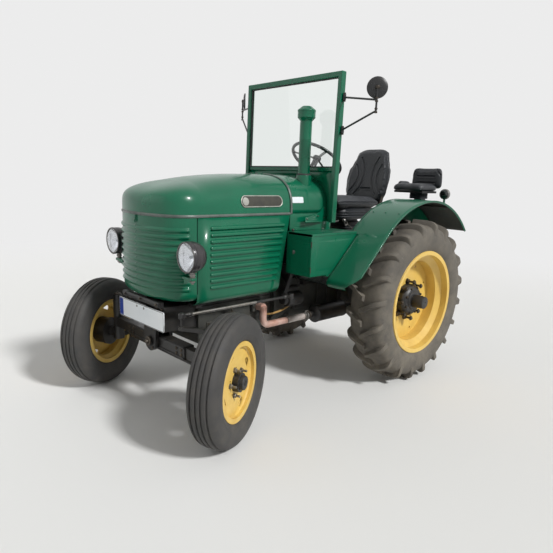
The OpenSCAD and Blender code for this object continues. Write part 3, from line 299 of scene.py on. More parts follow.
# dark green for the fenders' undersides: painted shade, with real dirt from the dust over it
undersideShadeAndDirt = finish("undersideShadeAndDirt", srgb(30, 42, 36), srgb(52, 50, 42), 0.85, patch=9.0, grain=90.0, bump=0.2,
                   dust=0.5, dustTop=1.6, dustColor=srgb(92, 84, 70))
lampBlack = finish("lampBlack", srgb(30, 28, 32), srgb(40, 36, 42), 0.32, patch=9.0, coat=0.3, bump=0.02,
                   dust=0.08, dustTop=1.6)
lampMirror = finish("lampMirror", srgb(226, 228, 232), srgb(208, 210, 214), 0.16, spread=0.06, patch=20.0,
                    metallic=1.0, bump=0.0)
plateBlue = finish("plateBlue", srgb(24, 60, 150), srgb(20, 52, 136), 0.35, bump=0.0, coat=0.2)
palePipe = finish("palePipe", srgb(206, 200, 196), srgb(170, 156, 148), 0.5, spread=0.2, patch=22.0,
                  metallic=0.35, bump=0.05, dust=0.15, dustTop=1.0)
handBlack = finish("handBlack", srgb(20, 21, 23), srgb(30, 30, 32), 0.35, patch=14.0, grain=300.0,
                   bump=0.04, coat=0.1)
darkGlass = finish("darkGlass", srgb(14, 22, 20), srgb(20, 28, 26), 0.08, coat=0.8, bump=0.0)
hoseTan = finish("hoseTan", srgb(190, 150, 84), srgb(150, 116, 64), 0.6, patch=20.0, bump=0.05, dust=0.2,
                 dustTop=1.0)


# Tools for the pieces

def at(x, y, z):
    # millimetres, y measured from the rear axle line
    return Vector((x * mm, y * mm + axleY, z * mm))


def linked(name, data):
    made = bpy.data.objects.new(name, data)
    bpy.context.scene.collection.objects.link(made)
    return made


def bareMesh(name, points, faces, weld=0.00001, thin=0.0):
    # weld, thin: points nearer than weld become one, and edges shorter than thin go, in metres
    mesh = bpy.data.meshes.new(name)
    mesh.from_pydata([tuple(p) for p in points], [], faces)
    work = bmesh.new()
    work.from_mesh(mesh)
    bmesh.ops.remove_doubles(work, verts=work.verts, dist=weld)
    if thin:
        bmesh.ops.dissolve_degenerate(work, edges=work.edges, dist=thin)
    bmesh.ops.recalc_face_normals(work, faces=work.faces)
    work.to_mesh(mesh)
    work.free()
    return mesh


def meshPiece(name, points, faces, material, body="root", smooth=35):
    return dressPiece(name, bareMesh(name, points, faces, 0.00002, 0.00001), material, body, smooth)


def dressPiece(name, mesh, material, body="root", smooth=35):
    mesh.materials.clear()
    mesh.materials.append(material)
    for face in mesh.polygons:
        face.use_smooth = True
    mesh.set_sharp_from_angle(angle=radians(smooth))
    piece = linked(name, mesh)
    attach(piece, body)
    return piece


def applied(piece):
    # turns the piece's modifiers into its mesh
    graph = bpy.context.evaluated_depsgraph_get()
    mesh = bpy.data.meshes.new_from_object(piece.evaluated_get(graph))
    piece.modifiers.clear()
    piece.data = mesh
    return piece


def walled(piece, thickness, offset, inside=0):
    # gives the sheet its thickness in mm; inside: which of its materials the inner wall takes
    wall = piece.modifiers.new("wall", "SOLIDIFY")
    wall.thickness = thickness * mm
    wall.offset = offset
    wall.material_offset = inside
    return applied(piece)


def inwards(sheet, face, out):
    # the wall's offset that keeps it inside, from one face of a sheet and the way out
    return -1 if sheet.data.polygons[face].normal.dot(out) > 0 else 1


def gridFaces(rows, columns, closeRows=False, closeColumns=False, start=0):
    faces = []
    for i in range(rows if closeRows else rows - 1):
        here, there = start + i * columns, start + (i + 1) % rows * columns
        for j in range(columns if closeColumns else columns - 1):
            after = (j + 1) % columns
            faces.append((here + j, here + after, there + after, there + j))
    return faces


def capFaces(rows, columns, start=0):
    last = start + (rows - 1) * columns
    return [tuple(range(start, start + columns))[::-1], tuple(range(last, last + columns))]


def gridPiece(name, rows, material, body="root", smooth=35, closeRows=False, closeColumns=False,
              caps=False):
    width = len(rows[0])
    faces = gridFaces(len(rows), width, closeRows, closeColumns)
    if caps:
        faces += capFaces(len(rows), width)
    return meshPiece(name, [p for row in rows for p in row], faces, material, body, smooth)


def turns(count):
    # equal angles round a full circle
    return [2 * pi * k / count for k in range(count)]


def eased(value, power):
    # power of the size, with the sign kept
    return copysign(abs(value) ** power, value)


def roundedRing(x, y, z, halfX, halfY, power, count):
    # ring between an ellipse and a box, level at height z
    return [at(x + halfX * eased(cos(a), power), y + halfY * eased(sin(a), power), z) for a in turns(count)]


def smoothPath(points, steps=8):
    # Catmull-Rom through the points
    path = []
    ends = [points[0] * 2 - points[1]] + list(points) + [points[-1] * 2 - points[-2]]
    for i in range(len(points) - 1):
        a, b, c, d = ends[i:i + 4]
        for k in range(steps):
            t = k / steps
            path.append(0.5 * (2 * b + (c - a) * t + (2 * a - 5 * b + 4 * c - d) * t * t
                               + (3 * b - a - 3 * c + d) * t ** 3))
    return path + [points[-1]]


def pathFrames(path, closed=False):
    # one normal pair for each point, carried along without twist
    count = len(path)
    tangents = []
    for i in range(count):
        before = path[i - 1] if i or closed else path[i]
        after = path[(i + 1) % count] if i < count - 1 or closed else path[i]
        tangents.append((after - before).normalized())
    side = tangents[0].orthogonal().normalized()
    frames = []
    for i, tangent in enumerate(tangents):
        side = (side - tangent * side.dot(tangent)).normalized()
        frames.append((side, tangent.cross(side)))
    return frames


def tubeRings(path, frames, radii, around):
    # radii in mm
    rows = []
    for point, r, (side, other) in zip(path, radii, frames):
        rows.append([point + (side * cos(a) + other * sin(a)) * r * mm for a in turns(around)])
    return rows


def tubePiece(name, path, radius, material, body="root", around=16):
    # radius: one for the whole tube or one for each point, in mm
    radii = radius if isinstance(radius, (list, tuple)) else [radius] * len(path)
    rows = tubeRings(path, pathFrames(path), radii, around)
    return gridPiece(name, rows, material, body, 50, closeColumns=True, caps=True)


def latheRows(profile, origin, axis, across, around=64):
    # profile: pairs of distance along the axis and radius, in mm
    other = axis.cross(across)
    rows = []
    for along, r in profile:
        centre = origin + axis * along * mm
        rows.append([centre + (across * cos(a) + other * sin(a)) * r * mm for a in turns(around)])
    return rows


def loopPiece(name, path, radius, material, body="root", around=8):
    # closed tube
    radii = radius if isinstance(radius, (list, tuple)) else [radius] * len(path)
    rows = tubeRings(path, pathFrames(path, True), radii, around)
    return gridPiece(name, rows, material, body, 60, closeRows=True, closeColumns=True)


def slabPiece(name, near, far, material, smooth=25):
    # plate between two equal outlines
    count = len(near)
    faces = [tuple(range(count)), tuple(range(2 * count - 1, count - 1, -1))] + gridFaces(2, count, False,
                                                                                          True)
    return meshPiece(name, near + far, faces, material, smooth=smooth)


def lathePiece(name, profile, origin, axis, material, body="root", around=64, smooth=30, closed=False):
    axis = axis.normalized()
    rows = latheRows(profile, origin, axis, axis.orthogonal().normalized(), around)
    return gridPiece(name, rows, material, body, smooth, closeRows=closed, closeColumns=True)


def boxPiece(name, low, high, material, body="root", bevel=2.0, segments=2, place=at):
    # the box's two sides in x may come in any order
    (x0, y0, z0), (x1, y1, z1) = low, high
    points = [place(x, y, z) for x in sorted((x0, x1)) for y in (y0, y1) for z in (z0, z1)]
    faces = [(0, 1, 3, 2), (4, 6, 7, 5), (0, 4, 5, 1), (2, 3, 7, 6), (0, 2, 6, 4), (1, 5, 7, 3)]
    piece = meshPiece(name, points, faces, material, body, 40)
    if bevel:
        edge = piece.modifiers.new("bevel", "BEVEL")
        edge.width = bevel * mm
        edge.segments = segments
        edge.limit_method = "NONE"
        applied(piece)
    return piece


def joinPieces(name, pieces, body="root"):
    # one object from several, each face keeps its material
    whole = bmesh.new()
    materials = []
    for piece in pieces:
        offset = len(whole.faces)
        whole.from_mesh(piece.data)
        whole.faces.ensure_lookup_table()
        slotMap = []
        for slot in piece.data.materials:
            if slot not in materials:
                materials.append(slot)
            slotMap.append(materials.index(slot))
        for face in whole.faces[offset:]:
            face.material_index = slotMap[face.material_index] if slotMap else 0
        bpy.data.objects.remove(piece)
    mesh = bpy.data.meshes.new(name)
    whole.to_mesh(mesh)
    whole.free()
    for slot in materials:
        mesh.materials.append(slot)
    made = linked(name, mesh)
    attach(made, body)
    return made


# Bonnet: the same plan arcs and section powers as the CAD part, in millimetres from the rear axle

bonnet = dict(half=335.0, noseY=-1876.0, frontR=700.0, joinAngle=19.0, noseLength=256.0, rearY=-966.0,
              seamZ=1231.7, crestZ=1472.0, crestY=-1000.0, topPower=2.9, nosePower=5.5, sheet=4.0)
arcJoin = radians(bonnet["joinAngle"])
bonnet["cornerR"] = (bonnet["half"] - bonnet["frontR"] * sin(arcJoin)) / (1 - sin(arcJoin))
bonnet["cornerX"] = bonnet["half"] - bonnet["cornerR"]
bonnet["frontCentreY"] = bonnet["noseY"] + bonnet["frontR"]
bonnet["seamY"] = bonnet["frontCentreY"] - (bonnet["frontR"] - bonnet["cornerR"]) * cos(arcJoin)
bonnet["noseStartY"] = bonnet["noseY"] + bonnet["noseLength"]


def noseOutline():
    # points and outward normals of the nose's plan from seam to seam, left to right, and the arc length
    corner, front, join = bonnet["cornerR"], bonnet["frontR"], arcJoin
    outline = []
    for k in range(25):
        a = (pi / 2 - join) * k / 24
        outline.append((bonnet["cornerX"], bonnet["seamY"], corner, -a))
    for k in range(1, 49):
        a = join - 2 * join * k / 48
        outline.append((0.0, bonnet["frontCentreY"], front, -pi / 2 + a))
    for k in range(1, 25):
        a = -pi / 2 - join - (pi / 2 - join) * k / 24
        outline.append((-bonnet["cornerX"], bonnet["seamY"], corner, a))
    points = [(cx + r * cos(a), cy + r * sin(a), cos(a), sin(a)) for cx, cy, r, a in outline]
    length, run = 0.0, [0.0]
    for p, q in zip(points, points[1:]):
        length += sqrt((p[0] - q[0]) ** 2 + (p[1] - q[1]) ** 2)
        run.append(length)
    return points, run


def bonnetHalf(y, t=0.0):
    corner, front, join = bonnet["cornerR"], bonnet["frontR"], arcJoin
    if y >= bonnet["seamY"]:
        return bonnet["half"] - t
    if y >= bonnet["seamY"] - (corner - t) * cos(join):
        return bonnet["cornerX"] + sqrt(max(0, (corner - t) ** 2 - (y - bonnet["seamY"]) ** 2))
    return sqrt(max(0, (front - t) ** 2 - (y - bonnet["frontCentreY"]) ** 2))


def crestHeight(y):
    u = max(0, bonnet["crestY"] - y) / 1000
    return bonnet["crestZ"] - 100 * u * u - 60 * u ** 4


def lidPoint(q, t, rearShare, inner):
    # q: 0 on the middle line, 1 at the edge; t: 0 where the nose starts, 1 at its tip
    # rearShare: 0 where the nose starts, 1 at the rear
    if rearShare > 0:
        y, nose = bonnet["noseStartY"] + (bonnet["rearY"] - bonnet["noseStartY"]) * rearShare, 0.0
        part = 0.0
        x = bonnetHalf(y, inner) * q
    else:
        part = q * t
        nose = part ** 3
        y = bonnet["noseStartY"] - (bonnet["noseLength"] - inner) * part
        x = bonnetHalf(y, inner) * (max(0, q ** 3 - nose) / max(1e-9, 1 - nose)) ** (1 / 3)
        if t == 1:
            x = 0.0
    power = bonnet["topPower"] + (bonnet["nosePower"] - bonnet["topPower"]) * part
    rise = max(0, 1 - q ** power) ** (1 / power)
    z = bonnet["seamZ"] + (crestHeight(y) - inner - bonnet["seamZ"]) * rise
    return x, y, z


def makeLid():
    work = bmesh.new()
    columns = [(0, 1 - k / 12) for k in range(12)] + [(1 - (1 - k / 30) ** 3, 0) for k in range(31)]
    rows = [sin(pi / 2 * k / 26) ** 0.62 for k in range(27)]
    for inner in (0.0, bonnet["sheet"]):
        for side in (1, -1):
            grid = []
            for q in rows:
                line = []
                for t, share in columns:
                    x, y, z = lidPoint(q, t, share, inner)
                    line.append(work.verts.new(at(side * x, y, z)))
                grid.append(line)
            for i in range(len(rows) - 1):
                for j in range(len(columns) - 1):
                    face = (grid[i][j], grid[i][j + 1], grid[i + 1][j + 1], grid[i + 1][j])
                    work.faces.new(face if (side > 0) == (inner == 0) else face[::-1])
    bmesh.ops.remove_doubles(work, verts=work.verts, dist=0.00005)
    bmesh.ops.dissolve_degenerate(work, edges=work.edges, dist=0.00002)
    edges = [e for e in work.edges if e.is_boundary]
    bmesh.ops.bridge_loops(work, edges=edges)
    bmesh.ops.recalc_face_normals(work, faces=work.faces)
    mesh = bpy.data.meshes.new("bonnetLid")
    work.to_mesh(mesh)
    work.free()
    lid = dressPiece("bonnetLid", mesh, greenEnamel, "bonnet", 55)
    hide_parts("bonnet_lid")
    # hinge barrels between lid and cowl
    for x in (-40, 40):
        barrel = tubePiece("lidHinge" + ("L" if x > 0 else "R"),
                           [at(x - 19.5, -963.5, 1475), at(x + 19.5, -963.5, 1475)], 6, greenEnamel,
                           "bonnet", 20)


ribs = dict(count=10, lowZ=824.0, pitch=36.7, out=9.0, radius=14.0, endBefore=41.6, foldHalf=9.0,
            foldRise=3.2)
skirt = dict(noseLow=748.0, panelLow=722.0, curl=44.0)


def ribOut(z, run, length):
    # how far the sheet stands out at height z and at run along the plan
    middle = abs(run - length / 2)
    fold = ribs["foldRise"] * max(0.0, 1 - middle / ribs["foldHalf"])
    toEnd = min(run, length - run) - ribs["endBefore"]
    best = 0.0
    k = round((z - fold - ribs["lowZ"]) / ribs["pitch"])
    if 0 <= k < ribs["count"]:
        dz = z - fold - (ribs["lowZ"] + k * ribs["pitch"])
        dEnd = max(0.0, 11.0 - toEnd) * 1.15 if toEnd < 11.0 else 0.0
        d2 = dz * dz + dEnd * dEnd
        r = ribs["radius"]
        if d2 < r * r:
            best = max(0.0, sqrt(r * r - d2) - (r - ribs["out"]))
    return best


def makeNose():
    outline, run = noseOutline()
    length = run[-1]
    # heights: the curl at the bottom, then steps fine enough for the ribs
    curl, low = skirt["curl"], skirt["noseLow"]
    profile = [(curl * cos(a) - curl, low + curl - curl * sin(a))
               for a in (pi / 2 * (1 - k / 9) for k in range(9))]
    z, top = skirt["noseLow"] + skirt["curl"], bonnet["seamZ"] - 1.2
    steps = int((top - z) / 2.4)
    profile += [(0.0, z + (top - z) * k / steps) for k in range(steps + 1)]
    # finer points along the plan
    fine = []
    for i in range(len(outline) - 1):
        for k in range(2):
            a, b = outline[i], outline[i + 1]
            f = k / 2
            p = [a[n] + (b[n] - a[n]) * f for n in range(4)]
            size = sqrt(p[2] ** 2 + p[3] ** 2)
            fine.append((p[0], p[1], p[2] / size, p[3] / size, run[i] + (run[i + 1] - run[i]) * f))
    fine.append((*outline[-1], length))
    rows = []
    for x, y, nx, ny, s in fine:
        row = []
        for back, z in profile:
            out = back + (ribOut(z, s, length) if back == 0 else 0)
            row.append(at(x + nx * out, y + ny * out, z))
        rows.append(row)
    nose = walled(gridPiece("noseShell", rows, greenEnamel, smooth=60), 2.5, -1)
    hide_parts("nose_shell")
    # painted shade in the gaps to the side panels: near-black strips behind the seams
    seals = []
    for x, y, nx, ny in (outline[0], outline[-1]):
        line = [at(x - nx * 2.2, y + 1.2, z) for z in (skirt["noseLow"] + skirt["curl"], 1000, top)]
        seals.append(tubePiece("seamSeal", line, 3.2, blackAndPaintedShade, around=12))
    whole = joinPieces("seamSeals", seals)


louvres = dict(count=10, lowZ=817.0, pitch=38.0, out=11.0, radius=16.0, wall=2.2, frontY=-1586.0,
               rearEdge=44.0, panelLowY=-1046.0, panelTopY=-961.3)


def panelRearY(z):
    return louvres["panelTopY"] + ((louvres["panelLowY"] - louvres["panelTopY"])
                                   * (1232 - z) / (1232 - skirt["panelLow"]))


def louvreSection(scale):
    # outwards and upwards, from the upper foot over the back to the lip and back inside
    r, out = louvres["radius"], louvres["out"]
    points = []
    for k in range(11):
        a = radians(72 - 88 * k / 10)
        points.append((out - r + r * cos(a), r * sin(a)))
    inner = r - louvres["wall"]
    lip = points[-1]
    points.append((lip[0] - louvres["wall"], lip[1] - 0.3))
    for k in range(8):
        a = radians(-14 + 74 * k / 7)
        points.append((out - r + inner * cos(a), inner * sin(a)))
    return [(max(x, -1.0) * scale if x > 0 else max(x, -1.0), y * (0.35 + 0.65 * scale)) for x, y in points]


def makeSidePanels():
    for side, tag in sides:
        # sheet with its curl, cut along the slanted rear edge
        rows = []
        for k in range(9):
            a = pi / 2 * (1 - k / 9)
            rows.append((skirt["curl"] * (cos(a) - 1), skirt["panelLow"] + skirt["curl"] * (1 - sin(a))))
        rows += [(0.0, skirt["panelLow"] + skirt["curl"]), (0.0, 1000.0), (0.0, bonnet["seamZ"] - 1.2)]
        grid = []
        front = bonnet["seamY"] + 1.2
        for back, z in rows:
            rear = panelRearY(z)
            cut = max(0.0, 1 - (z - skirt["panelLow"]) / 30.0) ** 2 * 26
            grid.append([at(side * (bonnet["half"] + back), front + (rear - cut - front) * k / 8, z)
                         for k in range(9)])
        sheet = gridPiece("panelSheet" + tag, grid, greenEnamel, smooth=50)
        parts = [walled(sheet, 2.5, inwards(sheet, len(sheet.data.polygons) // 2, Vector((side, 0, 0))))]
        for i in range(louvres["count"]):
            z = louvres["lowZ"] + i * louvres["pitch"]
            rear = panelRearY(z) - louvres["rearEdge"]
            stations = [(louvres["frontY"] - 10 * cos(pi / 2 * k / 5), sin(pi / 2 * k / 5))
                        for k in range(6)]
            stations += [(rear + 10 * sin(pi / 2 * k / 5), cos(pi / 2 * k / 5)) for k in range(6)]
            hood = []
            for y, scale in stations:
                hood.append([at(side * (bonnet["half"] + x), y, z + up)
                             for x, up in louvreSection(max(scale, 0.02))])
            parts.append(gridPiece("louvre", hood, greenEnamel, smooth=50, closeColumns=True, caps=True))
            # painted shade in the slot under the hood: a near-black box behind the opening
            low = (side * (bonnet["half"] - 1.5), louvres["frontY"], z - 3.5)
            high = (side * (bonnet["half"] + 0.15), rear, z + 8)
            parts.append(boxPiece("slot", low, high, blackAndPaintedShade, bevel=0))
        panel = joinPieces("sidePanel" + tag, parts)
        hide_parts("side_panels")


trim = dict(z=1231.0, height=17.0, out=5.5)


def makeTrim():
    # rolled strip along the lid's lower edge, from the joint with the cowl round the nose and back
    outline = noseOutline()[0]
    path = [(bonnet["half"], y, 1.0, 0.0) for y in (-963, -1100, -1250, -1400, -1550, -1650)]
    path += outline + [(-x, y, -nx, ny) for x, y, nx, ny in reversed(path)]
    section = []
    for k in range(9):
        a = pi * k / 8 - pi / 2
        section.append((trim["out"] * cos(a), trim["height"] / 2 * sin(a)))
    section = [(-1.0, -trim["height"] / 2)] + section + [(-1.0, trim["height"] / 2)]
    rows = [[at(x + nx * o, y + ny * o, trim["z"] + up) for o, up in section] for x, y, nx, ny in path]
    strip = gridPiece("trimStrip", rows, agedTrim, "bonnet", 50, closeColumns=True, caps=True)


# Geometry Nodes trees for what repeats

def geometryTree(name, sockets):
    mesh = ("Geometry", "Geometry")
    return startTree("GeometryNodeTree", name, [mesh, *sockets], [mesh])


def finishTree(tree, start, end, instances):
    solid = tree.nodes.new("GeometryNodeRealizeInstances")
    paint = tree.nodes.new("GeometryNodeSetMaterial")
    feed(tree, solid, {0: instances})
    feed(tree, paint, {"Geometry": solid.outputs[0], "Material": start.outputs["Material"]})
    feed(tree, end, {0: paint.outputs[0]})


def makeRingTree():
    # copies of the mesh turned round the X axis
    tree, start, end = geometryTree("ringOfCopies", [("Count", "Int"), ("Start Angle", "Float"),
                                                     ("Material", "Material")])
    points = tree.nodes.new("GeometryNodePoints")
    feed(tree, points, {"Count": start.outputs["Count"]})
    index = tree.nodes.new("GeometryNodeInputIndex").outputs[0]
    turn = mathNode(tree, "MULTIPLY", mathNode(tree, "DIVIDE", index, start.outputs["Count"]), 2 * pi)
    turn = mathNode(tree, "ADD", turn, start.outputs["Start Angle"])
    angles = tree.nodes.new("ShaderNodeCombineXYZ")
    feed(tree, angles, {"X": turn})
    copies = tree.nodes.new("GeometryNodeInstanceOnPoints")
    feed(tree, copies, {"Points": points.outputs[0], "Instance": start.outputs["Geometry"],
                        "Rotation": angles.outputs[0]})
    finishTree(tree, start, end, copies.outputs[0])
    return tree


def makeSpotTree():
    # one small mesh on every point of the carrier mesh, its Z axis along the point's normal
    tree, start, end = geometryTree("copiesOnPoints", [("Item", "Object"), ("Size", "Float"),
                                                       ("Material", "Material")])
    item = tree.nodes.new("GeometryNodeObjectInfo")
    feed(tree, item, {0: start.outputs["Item"]})
    normal = tree.nodes.new("GeometryNodeInputNormal").outputs[0]
    align = tree.nodes.new("FunctionNodeAlignRotationToVector")
    align.axis = "Z"
    feed(tree, align, {"Vector": normal})
    copies = tree.nodes.new("GeometryNodeInstanceOnPoints")
    feed(tree, copies, {"Points": start.outputs["Geometry"], "Instance": item.outputs["Geometry"],
                        "Rotation": align.outputs[0], "Scale": start.outputs["Size"]})
    finishTree(tree, start, end, copies.outputs[0])
    return tree


ringTree = makeRingTree()
spotTree = makeSpotTree()


def runTree(name, mesh, tree, values):
    # evaluates the tree on the mesh and returns the plain mesh
    carrier = linked(name, mesh)
    modifier = carrier.modifiers.new("repeat", "NODES")
    modifier.node_group = tree
    for item in tree.interface.items_tree:
        if item.in_out == "INPUT" and item.name in values:
            modifier[item.identifier] = values[item.name]
    graph = bpy.context.evaluated_depsgraph_get()
    made = bpy.data.meshes.new_from_object(carrier.evaluated_get(graph))
    bpy.data.objects.remove(carrier)
    return made


def ringMesh(name, mesh, count, material, startAngle=0.0):
    return runTree(name, mesh, ringTree, {"Count": count, "Start Angle": startAngle, "Material": material})


def latheMesh(name, profile, around=64, closed=False):
    # profile: pairs of x and radius in mm, turned round the X axis through the origin
    rows = latheRows(profile, Vector((0, 0, 0)), toLeft, rearward, around)
    return bareMesh(name, [p for row in rows for p in row], gridFaces(len(rows), around, closed, True))


def boltMesh(name, x0, x1, r, centre, nutFrom, nutTo, nutR):
    # a stud along X at the given radius, with a six-sided nut
    points, faces = [], []
    for low, high, radius, sides in ((x0, x1, r, 12), (nutFrom, nutTo, nutR, 6),
                                     (nutFrom - 2.5, nutFrom, nutR * 1.25, 20)):
        bevel = min(1.5, radius * 0.15)
        profile = [(low, radius - bevel), (low + bevel, radius), (high - bevel, radius),
                   (high, radius - bevel)]
        if sides == 20:
            profile = [(low, radius), (high, radius)]
        rows = latheRows(profile, Vector((0, 0, centre * mm)), toLeft, rearward, sides)
        start = len(points)
        points += [p for row in rows for p in row]
        faces += gridFaces(len(rows), sides, False, True, start) + capFaces(len(rows), sides, start)
    return bareMesh(name, points, faces)


# Wheels: left and right share their meshes; x runs outwards from the wheel's middle plane

wheels = dict(kingpinX=526.0, frontY=-1740.0, offset=124.0, steer=26.0, frontZ=370.0, rearX=665.0,
              rearZ=596.0)


def wheelPlace(front, side):
    if front:
        turn = Matrix.Rotation(radians(wheels["steer"] + (0 if side > 0 else 180)), 4, "Z")
        return (Matrix.Translation(at(side * wheels["kingpinX"], wheels["frontY"], 0)) @ turn
                @ Matrix.Translation(Vector((wheels["offset"] * mm, 0, wheels["frontZ"] * mm))))
    turn = Matrix.Rotation(0 if side > 0 else pi, 4, "Z")
    return Matrix.Translation(at(side * wheels["rearX"], 0, wheels["rearZ"])) @ turn


def placedPiece(name, mesh, place, material, body, smooth=35):
    mesh = mesh.copy()
    mesh.transform(place)
    return dressPiece(name, mesh, material, body, smooth)


def frontTyreProfile():
    # half profile from the bead outwards, then the tread with its grooves
    base = [(56.0, 204.0), (56.7, 224.5), (60.5, 227.5), (66, 230), (70, 236), (76.5, 247), (81, 261),
            (82.5, 263.5), (82.6, 266), (84, 278), (85, 292), (84.4, 306), (82, 321), (80.8, 325),
            (80.6, 329), (79.2, 333), (75.5, 344), (69.5, 352.5), (61.5, 359.5)]
    groove = [(54.5, 363.0), (52.0, 364.2), (50.4, 362.0), (49.4, 357.5), (47.5, 356.0), (43.5, 356.4),
              (41.6, 358.2), (40.6, 364.5), (38.5, 367.2), (35, 368.2), (27, 369.3), (20, 369.4),
              (17.8, 368.0), (16.8, 362.8), (15.2, 361.3), (11.6, 361.3), (10.0, 362.8), (9.0, 368.4),
              (7.0, 369.8), (0.0, 370.0)]
    half = base + groove
    return half + [(-x, r) for x, r in reversed(half[:-1])]


def makeFrontTyres():
    mesh = latheMesh("frontTyre", frontTyreProfile(), 120, closed=True)
    for side, tag in sides:
        body = "front_wheel_" + tag.lower()
        tyre = placedPiece("frontTyre" + tag, mesh, wheelPlace(True, side), frontRubber, body, 40)
        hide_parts("front_tyre_" + tag.lower())


rearTyre = dict(outer=596.0, lugs=20, around=120, lugWidth=37.0,
                carcass=((121.7, 356.6), (121.7, 378.3), (125, 384), (131, 392), (137, 408), (141, 428),
                         (142, 446), (141.6, 466), (139.5, 488), (135, 508), (127.5, 526), (115, 541),
                         (97, 551.5), (74, 558.5), (48, 562.5), (22, 565), (0, 566)),
                top=((0, 595.8), (30, 595.8), (64, 594.4), (92, 590.6), (114, 583.5), (128, 574),
                     (136, 562), (140.3, 546), (141.5, 528)),
                foot=((0, 566), (30, 564.5), (62, 561), (88, 554.5), (108, 545), (121, 534), (130, 521),
                      (136, 505), (139.5, 490)), slant=(0, 17, 41, 55, 64, 70, 74, 78, 81))


def lugMesh(name, half):
    # one lug: stations from the tread's middle to the sidewall; the middle leads when driving on
    top, foot, slant = rearTyre["top"], rearTyre["foot"], rearTyre["slant"]
    points, sections = [], 0
    for k in range(-1, len(top)):
        index = max(k, 0)
        (tx, tr), (fx, fr), t = top[index], foot[index], slant[index]
        if k < 0:
            tx, fx, t = -10, -10, -4
        width = rearTyre["lugWidth"] * (1.0 + 0.10 * index / len(top))
        endDrop = 0.0 if k < len(top) - 1 else 1.0
        shape = []
        for share, rise in ((-0.66, -0.05), (-0.52, 0.42), (-0.45, 0.86), (-0.38, 0.985), (0, 1.0),
                            (0.38, 0.985), (0.45, 0.86), (0.52, 0.42), (0.66, -0.05)):
            rise = rise * (1 - 0.75 * endDrop)
            x = fx + (tx - fx) * rise
            r = fr + (tr - fr) * rise
            angle = -(t + width * share) / rearTyre["outer"]      # along the travel at the top of the wheel
            shape.append(Vector((half * x * mm, -r * mm * sin(angle), r * mm * cos(angle))))
        points += shape
        sections += 1
    count = 9
    return bareMesh(name, points, gridFaces(sections, count, False, True) + capFaces(sections, count))


def makeRearTyres():
    half = list(rearTyre["carcass"])
    profile = half + [(-x, r) for x, r in reversed(half[:-1])]
    carcass = latheMesh("rearCarcass", profile, rearTyre["around"], closed=True)
    pitch = 2 * pi / rearTyre["lugs"]
    for side, tag in sides:
        body = "rear_wheel_" + tag.lower()
        place = wheelPlace(False, side)
        direction = Matrix.Scale(side, 4, rearward)     # both tyres' lugs point the same way
        parts = [placedPiece("carcass", carcass, place, rearRubber, body, 40)]
        for which, half in enumerate((1, -1)):
            ring = ringMesh("lugRing", lugMesh("lug", half), rearTyre["lugs"], rearRubber,
                            pitch * which / 2)
            ring.transform(direction)
            if side < 0:
                ring.flip_normals()
            parts.append(placedPiece("lugs", ring, place, rearRubber, body, 32))
        tyre = joinPieces("rearTyre" + tag, parts, body=body)
        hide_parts("rear_tyre_" + tag.lower())


hubs = dict(rearStuds=8, rearCircle=275.0, frontStuds=5, frontCircle=152.0)


def makeHubs():
    rearStud = boltMesh("rearStud", -21, 46, 8.5, hubs["rearCircle"] / 2, -17.5, -1, 17)
    rearEnd = boltMesh("rearStudEnd", 40, 52, 10, hubs["rearCircle"] / 2, 41, 50, 14)
    frontStud = boltMesh("frontStud", 34, 74, 6.5, hubs["frontCircle"] / 2, 38.5, 50, 12.5)
    capBolt = boltMesh("capBolt", 49, 57, 5, 98, 50.5, 56, 8)
    rearCap = latheMesh("rearCap", [(20, 119.7), (22.5, 119), (49, 97), (50.5, 94), (50.5, 70), (56, 66),
                                    (58, 60), (58, 48), (138, 45), (143, 42), (144, 38), (144, 14),
                                    (140, 10), (140, 0.01)], 64)
    frontCap = latheMesh("frontCap", [(69, 54.2), (70.5, 54), (71.5, 52), (71.5, 42.5), (90, 39), (92, 37),
                                      (93, 30), (93, 17), (91, 15), (91, 0.01)], 48)
    rimBead = latheMesh("rimBead", [(121.5 + 5.8 * cos(a), 376.8 + 3.6 * sin(a)) for a in turns(12)],
                        120, closed=True)
    for row in (True, False):
        for side, tag in sides:
            place = wheelPlace(row, side)
            body = ("front_wheel_" if row else "rear_wheel_") + tag.lower()
            if row:
                studs = ringMesh("studs", frontStud, hubs["frontStuds"], brightSteel, 0.3)
                piece = placedPiece("frontStuds" + tag, studs, place, brightSteel, body, 30)
                cap = placedPiece("frontHubCap" + tag, frontCap, place, blackEnamel, body, 30)
            else:
                studs = ringMesh("studs", rearStud, hubs["rearStuds"], darkSteel, 0.0)
                ends = ringMesh("studEnds", rearEnd, hubs["rearStuds"], darkSteel, 0.0)
                bolts = ringMesh("capBolts", capBolt, 8, darkSteel, 0.39)
                piece = joinPieces("rearStuds" + tag, [placedPiece("a", studs, place, darkSteel, body, 30),
                                                       placedPiece("b", bolts, place, darkSteel, body, 30),
                                                       placedPiece("c", ends, place, darkSteel, body, 30)],
                                   body=body)
                cap = placedPiece("rearHubCap" + tag, rearCap, place, blackEnamel, body, 30)
                bead = placedPiece("rearRimBead" + tag, rimBead, place, yellowEnamel, body, 60)


# Cowl between bonnet and windscreen, with the band over the joint

cowl = dict(bandY=-961.0, lapY=-807.0, flareY=-680.0, rearY=-640.0, half=335.0, rearHalf=374.0,
            crestZ=1472.0, seamZ=1231.7, power=2.9, sheet=2.5, proud=2.0, boxTopZ=1122.0, lowZ=950.0,
            sheetEndY=-602.0)


def cowlHalf(y):
    t = min(1.0, (y - cowl["bandY"]) / (cowl["flareY"] - cowl["bandY"]))
    return cowl["half"] + (cowl["rearHalf"] - cowl["half"]) * t * t


